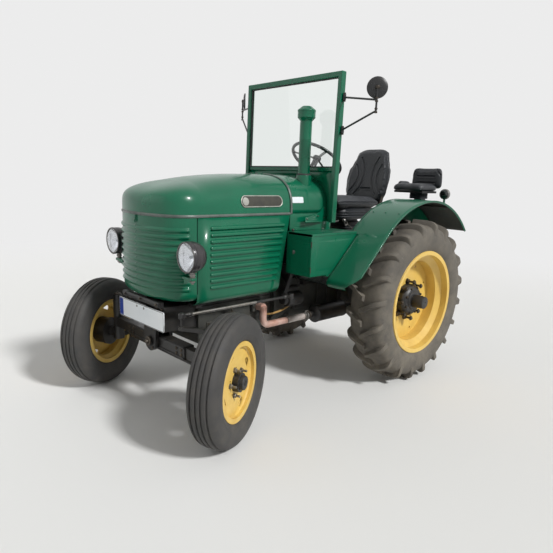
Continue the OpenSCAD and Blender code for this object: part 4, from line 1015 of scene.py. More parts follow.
def cowlPoint(angle, y, out):
    # angle: -90 at the right-hand crease, 0 on the crest, 90 at the left-hand crease
    p = 2 / cowl["power"]
    a = radians(angle)
    half, rise = cowlHalf(y) + out, cowl["crestZ"] - cowl["seamZ"] + out
    x = half * abs(sin(a)) ** p * (1 if angle > 0 else -1)
    return x, cowl["seamZ"] + rise * max(0.0, cos(a)) ** p


def bonnetSideX(z, half, crest):
    # half width of the round top at height z
    share = max(0.0, (z - cowl["seamZ"]) / (crest - cowl["seamZ"]))
    return half * (1 - share ** cowl["power"]) ** (1 / cowl["power"])


def makeCowl():
    proud, lap, rear = cowl["proud"], cowl["lapY"], cowl["rearY"]
    stations = [(cowl["bandY"] - 1 + k * (lap - 4 - cowl["bandY"]) / 12, proud) for k in range(13)]
    stations += [(lap - 1.5, proud), (lap - 0.3, proud - 0.6), (lap, 0.2), (lap + 1.2, 0.0)]
    stations += [(lap + 1.2 + k * (rear - 8 - lap - 1.2) / 11, 0.0) for k in range(1, 12)]
    stations += [(rear - 5, 0.9), (rear - 2.5, 1.6), (rear - 0.6, 0.9), (rear, -0.4)]
    angles = [-90 + 180 * k / 72 for k in range(73)]
    rows = []
    for y, out in stations:
        row = []
        for a in angles:
            x, z = cowlPoint(a, y, out)
            row.append(at(x, y, z))
        rows.append(row)
    arch = gridPiece("cowlArch", rows, greenEnamel, smooth=50)
    parts = [walled(arch, cowl["sheet"], inwards(arch, len(arch.data.polygons) // 2, upward))]
    # sheets below the crease: the left one stands on the tool box
    for side in (1, -1):
        foot = cowl["boxTopZ"] if side > 0 else cowl["lowZ"] + 14
        high = cowl["seamZ"] - 3.0
        heights = [cowl["seamZ"] - 1.0, high] + [high + (foot - high) * k / 4 for k in (1, 2, 3, 4)]
        rows = []
        for k in range(19):
            y = cowl["bandY"] + (cowl["sheetEndY"] - cowl["bandY"]) * k / 18
            half = cowlHalf(min(y, rear))
            line = [at(side * (half - (1.5 if j == 0 else 0)), y, z) for j, z in enumerate(heights)]
            if side > 0:
                line += [at(half - 2.0, y, foot - 1.0), at(332.0, y, foot - 1.5),
                         at(332.0, y, cowl["lowZ"])]
            else:
                line += [at(-half + 4.0, y, foot - 10.0), at(-half + 14.0, y, foot - 14.0)]
            rows.append(line)
        sheet = gridPiece("cowlSheet", rows, greenEnamel, smooth=40)
        parts.append(walled(sheet, 2.0, inwards(sheet, 2, Vector((side, 0, 0)))))
        # bead along the crease
        bead = [at(side * (cowlHalf(min(y, rear)) + 0.4), y, cowl["seamZ"] - 0.5)
                for y in range(-944, int(rear) + 1, 16)]
        parts.append(tubePiece("creaseBead", bead, 1.8, greenEnamel, around=10))
    # firewall in near-black painted shade, with the column's hole closed by a rubber ring
    parts.append(boxPiece("firewall", (-331, -664, 800.5), (331, -660, 1230.5), blackAndPaintedShade, bevel=1))
    body = joinPieces("cowlShell", parts)
    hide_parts("cowl")
    strip = []
    for y, out in ((-960.8, 2.2), (-960.6, 4.8), (-959, 6.2), (-956, 7.0), (-949, 7.0), (-946, 6.2),
                   (-944.4, 4.8), (-944.2, 1.8)):
        strip.append([at(x, y, z) for x, z in (cowlPoint(a, y, out) for a in angles)])
    band = gridPiece("cowlBand", strip, agedTrim, smooth=50)
    grommet = lathePiece("columnGrommet", [(0, 25.5), (0, 44), (3, 46), (6, 44), (9, 34), (14, 28),
                                           (14, 25.5)], at(0, -657, 1169), Vector((0, 0.5736, 0.8192)),
                         frontRubber, around=40, closed=True)
    makeDash()
    makeLabel()


dash = dict(y=-652.0, dials=((-150.0, 1335.0, 46.0), (0.0, 1352.0, 56.0), (150.0, 1335.0, 46.0)),
            switches=(-262.0, -232.0, 232.0, 262.0))


def makeDash():
    y = dash["y"]
    rim = [cowlPoint(-90 + 180 * k / 48, y, -3.5) for k in range(49)]
    points = [at(x, y, z) for x, z in rim] + [at(0, y, cowl["seamZ"] + 2)]
    faces = [(k, k + 1, 49) for k in range(48)]
    panel = meshPiece("dashPanel", points, faces, blackEnamel)
    parts = [walled(panel, 2.5, 0)]
    for x, z, r in dash["dials"]:
        parts.append(lathePiece("dialRim", [(1.5, r), (5, r + 1.5), (9, r), (10, r - 3), (9, r - 5),
                                            (4, r - 6)], at(x, y, z), rearward, brightSteel, around=48))
        parts.append(lathePiece("dialFace", [(4, r - 5.5), (4.2, 4), (7, 3.5), (7.5, 0.01)], at(x, y, z),
                                rearward, blackAndPaintedShade, around=48))
        for k in range(11):
            a = radians(-130 + 26 * k)
            near, far = r - 15, r - 9
            side = Vector((cos(a), 0, -sin(a))) * 0.9 * mm
            out = Vector((sin(a), 0, cos(a)))
            base = at(x, y + 4.7, z)
            quad = [base + out * near * mm - side, base + out * near * mm + side,
                    base + out * far * mm + side, base + out * far * mm - side]
            parts.append(meshPiece("dialMark", quad, [(0, 1, 2, 3)], plateWhite))
        a = radians(-40)
        out, side = Vector((sin(a), 0, cos(a))), Vector((cos(a), 0, -sin(a))) * 1.2 * mm
        base = at(x, y + 6, z)
        parts.append(meshPiece("dialHand", [base - side, base + side, base + out * (r - 17) * mm],
                               [(0, 1, 2)], redGlass))
    for x in dash["switches"]:
        parts.append(lathePiece("dashKnob", [(1, 9), (4, 9), (4, 4), (16, 4), (16, 9), (18, 11), (26, 11),
                                             (28, 8), (28, 0.01)], at(x, y, 1282), rearward, blackEnamel,
                                around=24))
    whole = joinPieces("dashBoard", parts)


label = dict(y0=-943.0, y1=-846.0, z0=1298.0, z1=1336.0, corner=7.0)


def capsule(y0, y1, z0, z1, corner, steps=6):
    # outline of a plate with round corners, in y and z
    points = []
    for cy, cz, start in ((y1 - corner, z1 - corner, 0), (y0 + corner, z1 - corner, 90),
                          (y0 + corner, z0 + corner, 180), (y1 - corner, z0 + corner, 270)):
        for k in range(steps + 1):
            a = radians(start + 90 * k / steps)
            points.append((cy + corner * cos(a), cz + corner * sin(a)))
    return points


def plateOnSide(name, outline, side, half, crest, low, high, material, body):
    # thin plate that follows the round side, from low to high above the sheet
    middleY = sum(p[0] for p in outline) / len(outline)
    middleZ = sum(p[1] for p in outline) / len(outline)
    rings = []
    for shrink, out in ((1.0, low), (1.0, high - 0.4), (0.985, high), (0.8, high), (0.4, high)):
        ring = []
        for y, z in outline:
            yy, zz = middleY + (y - middleY) * shrink, middleZ + (z - middleZ) * shrink
            ring.append(at(side * (bonnetSideX(zz, half(yy), crest) + out), yy, zz))
        rings.append(ring)
    count = len(outline)
    faces = gridFaces(len(rings), count, False, True) + [tuple(range((len(rings) - 1) * count,
                                                                     len(rings) * count))]
    return meshPiece(name, [p for ring in rings for p in ring], faces, material, body, 40)


def makeLabel():
    outline = capsule(label["y0"], label["y1"], label["z0"], label["z1"], label["corner"])
    for side, tag in sides:
        plate = plateOnSide("sideLabel" + tag, outline, side, cowlHalf, cowl["crestZ"], cowl["proud"] - 0.5,
                            cowl["proud"] + 1.2, plateWhite, "root")


badge = dict(y0=-1370.0, y1=-1036.0, z0=1278.0, z1=1342.0, crest=1466.0)


def makeBadge():
    # bare capsule: bright rim, dark field and a plain round end
    def flat(y):
        return bonnet["half"]

    middle = (badge["z0"] + badge["z1"]) / 2
    r = (badge["z1"] - badge["z0"]) / 2
    for side, tag in sides:
        outline = capsule(badge["y0"], badge["y1"], badge["z0"], badge["z1"], r - 0.5, 12)
        field = plateOnSide("badgeField", outline, side, flat, badge["crest"], -1.0, 2.6, badgeField,
                            "bonnet")
        rim = [at(side * (bonnetSideX(z, bonnet["half"], badge["crest"]) + 2.6), y, z) for y, z in outline]
        ring = loopPiece("badgeRim", rim, 3.6, badgeMetal, "bonnet", 10)
        dot = [(badge["y0"] + r + 1 + (r - 8) * cos(a), middle + (r - 8) * sin(a)) for a in turns(36)]
        end = plateOnSide("badgeDot", dot, side, flat, badge["crest"], 2.0, 4.4, badgeMetal, "bonnet")
        whole = joinPieces("sideBadge" + tag, [field, ring, end], body="bonnet")


# Windscreen frame, in its own leaning frame: x, y behind its middle plane, z up from its foot

screen = dict(footY=-659.0, footZ=1172.0, lean=1.0, half=450.0, postW=34.0, postD=42.0, topZ=2120.0,
              glassLowZ=1530.0, sheet=4.0, railD=13.0, railH=24.0, sealGap=2.5, sealR=4.2, sealY=6.5,
              screws=7, screwPitch=120.0)
screen["height"] = (screen["topZ"] - screen["footZ"]) / cos(radians(screen["lean"]))
screen["glassFoot"] = (screen["glassLowZ"] - screen["footZ"]) / cos(radians(screen["lean"]))


def inScreen(x, y, z):
    a = radians(screen["lean"])
    return at(x, screen["footY"] + y * cos(a) + z * sin(a), screen["footZ"] - y * sin(a) + z * cos(a))


def screwMesh():
    # round head, standing on the origin
    rows = latheRows([(0, 1.0), (0.22, 0.96), (0.45, 0.62), (0.5, 0.01)], Vector((0, 0, 0)), upward, toLeft,
                     12)
    points = [p / mm for row in rows for p in row]
    return bareMesh("screwHead", points, gridFaces(len(rows), 12, False, True))


def spotPieces(name, places, normal, size, material, body="root", item=None):
    # small things on the given places, made by the tree of copies on points
    item = linked("smallItem", item or screwMesh())
    carrier = bpy.data.meshes.new(name)
    turn = upward.rotation_difference(normal).to_matrix().to_4x4()
    carrier.from_pydata([tuple(turn.inverted() @ p) for p in places], [], [])
    mesh = runTree(name, carrier, spotTree, {"Item": item, "Size": size * mm, "Material": material})
    mesh.transform(turn)
    bpy.data.objects.remove(item)
    return dressPiece(name, mesh, material, body, 40)


def makeScreen():
    half, w, d, h, g = screen["half"], screen["postW"], screen["postD"], screen["height"], screen["glassFoot"]
    parts = []
    for side in (1, -1):
        x0, x1 = side * (half - w), side * half
        parts.append(boxPiece("post", (x0, -d / 2, 0), (x1, d / 2, h), greenEnamel, bevel=5, segments=3,
                              place=inScreen))
    parts.append(boxPiece("topRail", (-half + 6, -d / 2 + 0.4, h - w), (half - 6, d / 2 - 0.4, h - 0.4),
                          greenEnamel, bevel=4, segments=3, place=inScreen))
    parts.append(boxPiece("bottomRail", (-half + w - 1, -screen["railD"] / 2 - 2, g - screen["railH"]),
                          (half - w + 1, screen["railD"] / 2 + 2, g), greenEnamel, bevel=3, place=inScreen))
    # sheet round the cowl, drawn by rays from the middle of the arch
    rows = []
    inside, top = half - w + 1, g - 14
    low = screen["footZ"]
    foot = [(cowl["rearHalf"] + 0.4, low + 4), (cowl["rearHalf"] + 0.4, (low + cowl["seamZ"]) / 2)]
    edge = [(x, z, half - w + 1, z - low) for x, z in foot]
    for k in range(61):
        x, z = cowlPoint(90 - 3.0 * k, cowl["flareY"], 0.4)
        dx, dz = x, max(0.001, z - cowl["seamZ"])
        reach = min(inside / max(abs(dx), 1e-6), (top + low - cowl["seamZ"]) / dz)
        edge.append((x, z, dx * reach, cowl["seamZ"] + dz * reach - low))
    edge += [(-x, z, -ox, oz) for x, z, ox, oz in reversed(edge[:2])]
    for x, z, ox, oz in edge:
        rows.append([inScreen(x + (ox - x) * t, screen["sheet"], z - low + (oz - z + low) * t)
                     for t in (0, 0.5, 1)])
    sheet = gridPiece("screenSheet", rows, greenEnamel, smooth=30)
    parts.append(walled(sheet, screen["sheet"], 0))
    # braces beside the cowl, each with a round bar along its foot
    outline = [(-862, 1176), (-862, 1206), (-775, 1222), (-720, 1242), (-684, 1280), (-660, 1280),
               (-660, 1176)]
    for side in (1, -1):
        near, far = cowl["rearHalf"] + 2.2, cowl["rearHalf"] + 4.8
        layers = [[at(side * x, y, z) for y, z in outline] for x in (near, far)]
        parts.append(slabPiece("brace", *layers, greenEnamel, 30))
        rail = [at(side * (near + 2), y, 1177) for y in (-863, -860, -700)]
        parts.append(tubePiece("braceBar", rail, [4, 6, 6], greenEnamel))
    frame = joinPieces("screenFrame", parts)
    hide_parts("windscreen_frame")
    seals = []
    gap = screen["sealGap"]
    for y in (-screen["sealY"], screen["sealY"]):
        loop = capsule(w + gap - half, half - w - gap, g + gap, h - w - gap, 10)
        seals.append(loopPiece("seal", [inScreen(x, y, z) for x, z in loop], screen["sealR"], frontRubber,
                               around=10))
    whole = joinPieces("glassSeal", seals)
    xs = [screen["screwPitch"] * (k - (screen["screws"] - 1) / 2) for k in range(screen["screws"])]
    screws = [spotPieces("railScrewsFront", [inScreen(x, -screen["railD"] / 2 - 2, g - screen["railH"] / 2)
                                             for x in xs], ahead, 5.5, brightSteel),
              spotPieces("railScrewsBack", [inScreen(x, screen["railD"] / 2 + 2, g - screen["railH"] / 2)
                                            for x in xs], rearward, 5.5, brightSteel)]
    for side in (1, -1):
        outward = Vector((side, 0, 0))
        places = [at(side * 379, y, z) for y, z in ((-846, 1196), (-740, 1212), (-676, 1262), (-676, 1200))]
        screws.append(spotPieces("braceScrews", places, outward, 7.5, darkSteel))
    whole = joinPieces("frameScrews", screws)


mirror = dict(left=(742.0, -690.0, 1987.0), right=(-680.0, -503.0, 2043.0), r=62.0, turn=41.0, arm=6.0)


def makeMirrors():
    for side, tag in sides:
        angle = radians(mirror["turn"])
        disc = Vector(mirror[tag.lower()])
        forward = Vector((side * sin(angle), -cos(angle), 0))
        front = disc + forward * 14
        stem, bend = front + Vector((0, 0, -70)), front + Vector((0, 0, -132))
        post, lowPost = Vector((side * 453, -642, 1963)), Vector((side * 453, -645, 1762))
        place = lambda v: at(v.x, v.y, v.z)
        parts = []
        for a, b in ((post, stem), (lowPost, bend)):
            path = smoothPath([place(a), place(a + (b - a) * 0.12), place(a + (b - a) * 0.85), place(b)], 6)
            parts.append(tubePiece("arm", path, mirror["arm"], blackEnamel, around=14))
        parts.append(tubePiece("stem", [place(bend + Vector((0, 0, -9))), place(stem),
                                        place(front + Vector((0, 0, 14)))], 6.2, blackEnamel, around=14))
        for z in (-140, -120, -78, -60, 0):
            ring = [(-5, 0.01), (-5, 8), (-3.5, 9.5), (3.5, 9.5), (5, 8), (5, 0.01)]
            parts.append(lathePiece("clampNut", ring, place(front + Vector((0, 0, z))), upward, darkSteel,
                                    around=6, smooth=20))
        # clamps on the post
        for z in (1963, 1762):
            ring = [(-19, 0.01), (-19, 8), (-17, 10), (17, 10), (19, 8), (19, 0.01)]
            parts.append(lathePiece("postClamp", ring, at(side * 461, -642, z), upward, blackEnamel,
                                    around=20))
            for end in (-23, 23):
                nut = [(-4, 0.01), (-4, 7.5), (-3, 8.5), (3, 8.5), (4, 7.5), (4, 0.01)]
                parts.append(lathePiece("clampNut", nut, at(side * 461, -642, z + end), upward, darkSteel,
                                        around=6, smooth=20))
        # dished back with a rolled edge; the glass looks back to the driver
        r = mirror["r"]
        shell = [(9, 0.01), (9, 14), (8.6, 30), (7, 44), (4, 55), (1, r - 1.5), (-1.5, r), (-5, r),
                 (-7.6, r - 1), (-8, r - 3), (-7, r - 4.5)]
        parts.append(lathePiece("shell", shell, place(disc), forward, blackEnamel, around=64))
        parts.append(lathePiece("boss", [(8, 15), (12, 14), (17, 11), (20, 9), (22, 6), (22, 0.01)],
                                place(disc), forward, darkSteel, around=24))
        parts.append(lathePiece("glassFace", [(-7.2, r - 4.2), (-7.6, 30), (-7.8, 0.01)], place(disc),
                                forward, mirrorGlass, around=64))
        whole = joinPieces("mirror" + tag, parts)
        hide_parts("mirrors")


stack = dict(x=248.0, y=-757.0)


def makeStack():
    x, y = stack["x"], stack["y"]
    foot = at(x, y, 0)
    base = [(1402, 0.01), (1402, 50), (1470, 51.5), (1474, 50), (1475, 46)]
    parts = [lathePiece("stackBase", base, foot, upward, greenEnamel, around=56),
             lathePiece("stackRing", [(1473, 42), (1474, 47.5), (1481, 48.2), (1484, 46), (1485, 40)], foot,
                        upward, frontRubber, around=56)]
    pipe = [(1480, 38.6), (1492, 39), (1700, 39), (1702, 39.6), (1706, 39.6), (1708, 39), (1814, 39),
            (1818, 39.6), (1822, 42), (1838, 57.2), (1840, 58.6), (1842, 58.8), (1846, 58.2), (1874, 58.2),
            (1877, 58.6), (1880, 60), (1884, 60), (1888, 58.6), (1890, 56), (1910, 31), (1911.5, 27),
            (1911.5, 0.01)]
    parts.append(lathePiece("stackPipe", pipe, foot, upward, greenEnamel, around=64, smooth=35))
    seam = [at(x - 39 * cos(radians(50)), y - 39 * sin(radians(50)), z) for z in (1490, 1650, 1812)]
    parts.append(tubePiece("stackSeam", seam, 1.3, greenEnamel, around=8))
    whole = joinPieces("stackShell", parts)
    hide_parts("intake_stack")


# Fenders: crown along its path, wall beside the driver, beads along the edges

fender = dict(inX=500.0, noseInX=555.3, outX=790.0, r=733.0, rearA=43.0, frontA=134.0, run=425.0, curl=34.0,
              sheet=3.0, lip=11.0, cornerR=140.0, cornerIn=0.94, cutY=-534.7, axleZ=596.0, floorZ=765.0)


def fenderPlace(s, out=0.0):
    # y, height over the axle, and the run at s; s counts degrees up to the straight run, then mm
    front = fender["frontA"]
    if s <= front:
        a = radians(s)
        return (fender["r"] + out) * cos(a), (fender["r"] + out) * sin(a), 0.0
    run = s - front
    a = radians(front)
    if run <= fender["run"]:
        r, t = fender["r"] + out, run
    else:
        b = (run - fender["run"]) / fender["curl"]
        r = fender["r"] - fender["curl"] + (fender["curl"] + out) * cos(b)
        t = fender["run"] + (fender["curl"] + out) * sin(b)
    return r * cos(a) - t * sin(a), r * sin(a) + t * cos(a), t


def fenderOuter(t):
    # outer edge, rounded off at the lower end
    width, r = fender["outX"] - fender["inX"], fender["cornerR"]
    centre = fender["run"] + fender["curl"] - fender["cornerIn"] * r
    if t <= centre:
        return fender["outX"]
    reach = sqrt(max(0.0, r * r - (t - centre) ** 2))
    return fender["inX"] + min(width, width - fender["cornerIn"] * r + reach)


def makeFenders():
    stations = [fender["rearA"] + (fender["frontA"] - fender["rearA"]) * k / 44 for k in range(45)]
    stations += [fender["frontA"] + fender["run"] * k / 26 for k in range(1, 27)]
    stations += [fender["frontA"] + fender["run"] + fender["curl"] * radians(15 * k) for k in range(1, 8)]
    cut = min(range(len(stations)), key=lambda k: abs(fenderPlace(stations[k])[0] - fender["cutY"]))
    stations.insert(cut + 1, stations[cut] + 0.05)
    for side, tag in sides:
        rows, edge = [], []
        for index, s in enumerate(stations):
            t = fenderPlace(s, fender["sheet"])[2]
            low = fender["inX"] if index <= cut else fender["noseInX"]
            high = fenderOuter(t)
            row = []
            for k in range(15):
                u = k / 14
                crown = 5.0 * (1 - (2 * u - 1) ** 4) - 5.0
                row.append(at(side * (low + (high - low) * u), *lipPoint(s, fender["sheet"] + crown * 0.5)))
            rows.append(row)
            edge.append(row[-1])
        crown = gridPiece("fenderCrown", rows, greenEnamel, smooth=40)
        # the crown's inner wall takes the dark underside colour: painted shade, with dirt over it
        crown.data.materials.append(undersideShadeAndDirt)
        if crown.data.polygons[14 * 20 + 7].normal.z <= 0:
            crown.data.flip_normals()
        parts = [walled(crown, fender["sheet"], -1, 1)]
        # lip turned down along the outer edge, with its bead
        lip = []
        for k, s in enumerate(stations):
            t = fenderPlace(s)[2]
            x = fenderOuter(t)
            if x < fender["outX"] - 0.5:
                break
            lip.append([at(side * (x - 0.2), *lipPoint(s, drop)) for drop in (2.0, -4.0, -fender["lip"])])
        sheet = gridPiece("fenderLip", lip, greenEnamel, smooth=40)
        parts.append(walled(sheet, 2.0, inwards(sheet, 20, Vector((side, 0, 0)))))
        bead = [p + (q - p).normalized() * -0.6 * mm for p, q in zip(edge, [row[-3] for row in rows])]
        parts.append(tubePiece("fenderBead", bead, 2.6, greenEnamel, around=10))
        # wall beside the driver's place
        outline = []
        for s in stations[:cut + 1]:
            if s >= fender["rearA"] + 1.1:
                outline.append(lipPoint(s, 1.5))
        outline += [(fender["cutY"], fender["floorZ"]), (60, fender["floorZ"]),
                    (370, fender["axleZ"] + 464)]
        layers = [[at(side * x, y, z) for y, z in outline] for x in (fender["inX"], fender["inX"] + 3)]
        parts.append(slabPiece("fenderWall", *layers, greenEnamel))
        weld = [at(side * (fender["inX"] - 0.5), *lipPoint(s, -1.0)) for s in stations[1:cut]]
        parts.append(tubePiece("fenderWeld", weld, 3.0, greenEnamel, around=8))
        # pressed ribs in the wall and a stay under the crown
        for y in (-330, -60):
            rib = [at(side * (fender["inX"] - 1), y, z) for z in (fender["floorZ"] + 40,
                                                                  fender["floorZ"] + 60, 1150, 1170)]
            parts.append(tubePiece("wallRib", rib, [0.5, 7, 7, 0.5], greenEnamel, around=12))
        for s in (70.0, 118.0):
            stay = []
            for k in range(9):
                x = fender["inX"] + 4 + (fender["outX"] - fender["inX"] - 8) * k / 8
                stay.append([at(side * x, *lipPoint(s + d, -o))
                             for d, o in ((-1.4, 0.5), (-1.4, 13), (1.4, 13), (1.4, 0.5))])
            # the stays take the dark underside colour: painted shade, with dirt over it
            parts.append(gridPiece("fenderStay", stay, undersideShadeAndDirt, smooth=20, closeColumns=True, caps=True))
        whole = joinPieces("fender" + tag, parts)
        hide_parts("fenders")
        # carriage bolts over the stays
        bolts = []
        for s in (70.0, 118.0):
            for x in (540, 640, 745):
                bolts.append(spotPieces("fenderBolt", [at(side * x, *lipPoint(s, fender["sheet"]))],
                                        Vector((0, cos(radians(s)), sin(radians(s)))), 8.0, greenEnamel))
        whole = joinPieces("fenderBolts" + tag, bolts)


def lipPoint(s, out):
    y, z = fenderPlace(s, out)[:2]
    return y, fender["axleZ"] + z


# Tool box: folded sheet with an overhanging lid; its front is a door with a turning latch

toolbox = dict(inX=335.3, doorInX=346.5, outX=552.0, frontY=-980.0, rearY=-535.0, lowZ=850.0, topZ=1120.0,
               wall=3.0, over=3.0)


def makeToolbox():
    b = toolbox
    inX, outX, f, r, low, top, w = (b[k] for k in ("inX", "outX", "frontY", "rearY", "lowZ", "topZ",
                                                   "wall"))
    parts = [boxPiece("floor", (inX, f, low), (outX, r, low + w), greenEnamel, bevel=1),
             boxPiece("innerWall", (inX, f, low), (inX + w, r, top - 2), greenEnamel, bevel=1),
             boxPiece("outerWall", (outX - w, f, low), (outX, r, top - 2), greenEnamel, bevel=1.2),
             boxPiece("rearWall", (inX, r - w, low), (outX, r, top - 2), greenEnamel, bevel=1.2),
             boxPiece("stile", (inX, f, low), (b["doorInX"] - 0.3, f + w, top - 2), greenEnamel, bevel=1),
             boxPiece("lid", (inX, f, top - 4), (outX + b["over"], r, top), greenEnamel, bevel=1.8,
                      segments=3), boxPiece("lidSkirt", (outX + 0.4, f, top - 13),
                                            (outX + b["over"], r, top - 1), greenEnamel, bevel=1.2)]
    edge = [at(outX + 1.8, y, top - 13) for y in (f + 3, f + 6, r - 6, r - 3)]
    parts.append(tubePiece("lidEdge", edge, [0.6, 1.8, 1.8, 0.6], greenEnamel, around=10))
    # pressed panel on the lid and one on the outer wall
    parts.append(pressing("lidPressing", lambda u, v, h: at(inX + 24 + (outX - inX - 48) * u,
                                                            f + 26 + (r - f - 52) * v, top + h - 0.4), 2.4))
    parts.append(pressing("wallPressing", lambda u, v, h: at(outX + h * 0.9 - 0.6,
                                                             f + 30 + (r - f - 60) * u,
                                                             low + 28 + (top - low - 66) * v), 2.2))
    knob = [(0, 10), (3, 10), (4, 6), (9, 5.4), (10, 9), (14, 10.5), (17, 9), (18.5, 5), (18.5, 0.01)]
    knob = [(a * 0.9, q) for a, q in knob]
    parts.append(lathePiece("lidKnob", knob, at(362, -957, top - 0.5), upward, darkSteel, around=24))
    # hanger below the outer wall
    for y in (-806, -620):
        parts.append(boxPiece("hanger", (outX - 60, y - 17, low - 12), (outX - 2, y + 17, low + 1),
                              greenEnamel, bevel=2))
        parts.append(lathePiece("hangerBolt", [(0, 0.01), (0, 8), (5, 8.5), (6, 7), (6, 0.01)],
                                at(outX - 30, y, low - 18), upward, darkSteel, around=6, smooth=20))
    whole = joinPieces("toolBox", parts)
    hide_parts("toolbox")
    # door
    y = f - 0.5
    parts = [boxPiece("door", (b["doorInX"], y - w, low), (outX, y, top - 17), greenEnamel, "box_door",
                      bevel=1.2)]
    parts.append(pressing("doorPressing", lambda u, v, h: at(b["doorInX"] + 16
                                                             + (outX - b["doorInX"] - 36) * u,
                                                             y - w - h + 0.5,
                                                             low + 20 + (top - low - 58) * v), 2.0,
                          "box_door"))
    latch = [(0, 12), (2, 12.5), (3.2, 11.5), (3.2, 6), (5.0, 6), (5.6, 5), (5.6, 0.01)]
    parts.append(lathePiece("latchPlate", latch, at(405, y - w, 993), ahead, brightSteel, "box_door",
                            around=28))
    parts.append(boxPiece("latchTurn", (401, y - w - 10, 979), (409, y - w - 5.4, 1007), brightSteel,
                          "box_door", bevel=2))
    for z in (895, 1055):
        parts.append(tubePiece("hinge", [at(outX - 0.2, y - 1.5, z + d) for d in (-18, -17, 17, 18)],
                               [2, 3.4, 3.4, 2], darkSteel, "box_door", around=12))
        parts.append(boxPiece("hingeLeaf", (outX - 24, y - w - 1.4, z - 16),
                              (outX - 1, y - w + 0.2, z + 16), greenEnamel, "box_door", bevel=0.8))
    whole = joinPieces("toolBoxDoor", parts, body="box_door")
    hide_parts("toolbox_door")


def pressing(name, place, height, body="root"):
    # shallow raised field with soft edges
    steps = (0.0, 0.03, 0.06, 0.09, 0.3, 0.5, 0.7, 0.91, 0.94, 0.97, 1.0)
    rise = lambda t: min(1.0, max(0.0, min(t, 1 - t) / 0.08))
    soft = lambda t: t * t * (3 - 2 * t)
    rows = [[place(u, v, height * soft(min(rise(u), rise(v)))) for v in steps] for u in steps]
    return gridPiece(name, rows, greenEnamel, body, smooth=60)


# Headlamps

lamp = dict(x=414.0, y=-1812.0, z=1025.0, bowlR=85.0, lensR=78.0, wireR=79.0, domeR=205.0, flutePitch=9.0,
            flute=0.9)


def makeHeadlamps():
    depth = sqrt(lamp["bowlR"] ** 2 - (lamp["lensR"] + 2) ** 2)
    for side, tag in sides:
        origin = at(side * lamp["x"], lamp["y"], lamp["z"])
        r = lamp["bowlR"]
        bowl = [(4, 79), (4, 83.5), (7, 84.6), (12, 84.6), (14, 83.0), (15.5, 83.0), (17.5, 84.8)]
        bowl += [(depth + r * sin(radians(a)), r * cos(radians(a))) for a in (-6, 0, 6, 12, 18)]
        ring = radians(22)
        bowl += [(depth + r * sin(ring), r * cos(ring) - 1.8),
                 (depth + r * sin(ring) + 2, r * cos(ring) - 2.2)]
        bowl += [(depth + r * sin(radians(a)), r * cos(radians(a)))
                 for a in range(27, 90, 5)] + [(depth + r, 0.01)]
        parts = [lathePiece("bowl", bowl, origin, rearward, lampBlack, around=72, smooth=32)]
        rim = [(-2, 76.5), (-6, 78), (-8, 81), (-7.6, 84), (-4, 85.6), (2, 86), (4.5, 85), (4.5, 80)]
        parts.append(lathePiece("bezel", rim, origin, rearward, lampBlack, around=72, smooth=50))
        wire = [at(side * lamp["x"] + lamp["wireR"] * cos(a), lamp["y"] - 7.4,
                   lamp["z"] + lamp["wireR"] * sin(a)) for a in turns(60)]
        parts.append(loopPiece("bezelWire", wire, 1.9, brightSteel))
        parts.append(lathePiece("bezelScrew", [(0, 0.01), (0, 4), (3, 4), (4, 3), (4, 0.01)],
                                at(side * lamp["x"], lamp["y"] - 5, lamp["z"] - 84), Vector((0, -1, -0.3)),
                                brightSteel, around=12))
        whole = joinPieces("headlamp" + tag, parts)
        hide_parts("headlamp_shells")
        # reflector with bulb
        dish = [(2 + 46 * (1 - (q / 77) ** 2), q) for q in (77, 70, 62, 52, 42, 32, 22, 14, 9)]
        parts = [lathePiece("dish", dish, origin, rearward, lampMirror, around=64, smooth=60)]
        bulb = [(48, 8), (34, 8), (32, 9), (28, 9.5), (22, 8), (18, 5), (16, 0.01)]
        parts.append(lathePiece("bulb", bulb, origin, rearward, plateWhite, around=24, smooth=60))
        whole = joinPieces("reflector" + tag, parts)
        makeLens(side, tag)
        # stem with nuts, and the bracket to the nose
        stem = at(side * lamp["x"], lamp["y"] + 38, lamp["z"])
        down = Vector((0, 0, -1))
        profile = [(74, 0.01), (74, 24), (80, 26), (84, 24), (85, 14), (92, 13), (93, 17), (101, 17),
                   (102, 13), (110, 13), (111, 18), (113, 18), (113, 0.01)]
        parts = [lathePiece("stem", profile, stem, down, brightSteel, around=32, smooth=30)]
        nut = [(130, 0.01), (130, 14), (131, 15.5), (139, 15.5), (141, 13), (141, 8), (149, 7.5),
               (150, 0.01)]
        parts.append(lathePiece("nut", nut, stem, down, brightSteel, around=6, smooth=20))
        y0, y1 = lamp["y"] + 20, lamp["y"] + 54
        x0, x1 = side * 338, side * 432
        parts.append(boxPiece("arm", (x0, y0, 895), (x1, y1, 911.6), greenEnamel, bevel=3))
        rib = [(338, 897), (338, 868), (352, 868), (418, 893), (418, 897)]
        layers = [[at(side * x, y, z) for x, z in rib] for y in (y0 + 12, y0 + 22)]
        parts.append(slabPiece("armRib", *layers, greenEnamel, 20))
        whole = joinPieces("lampBracket" + tag, parts)


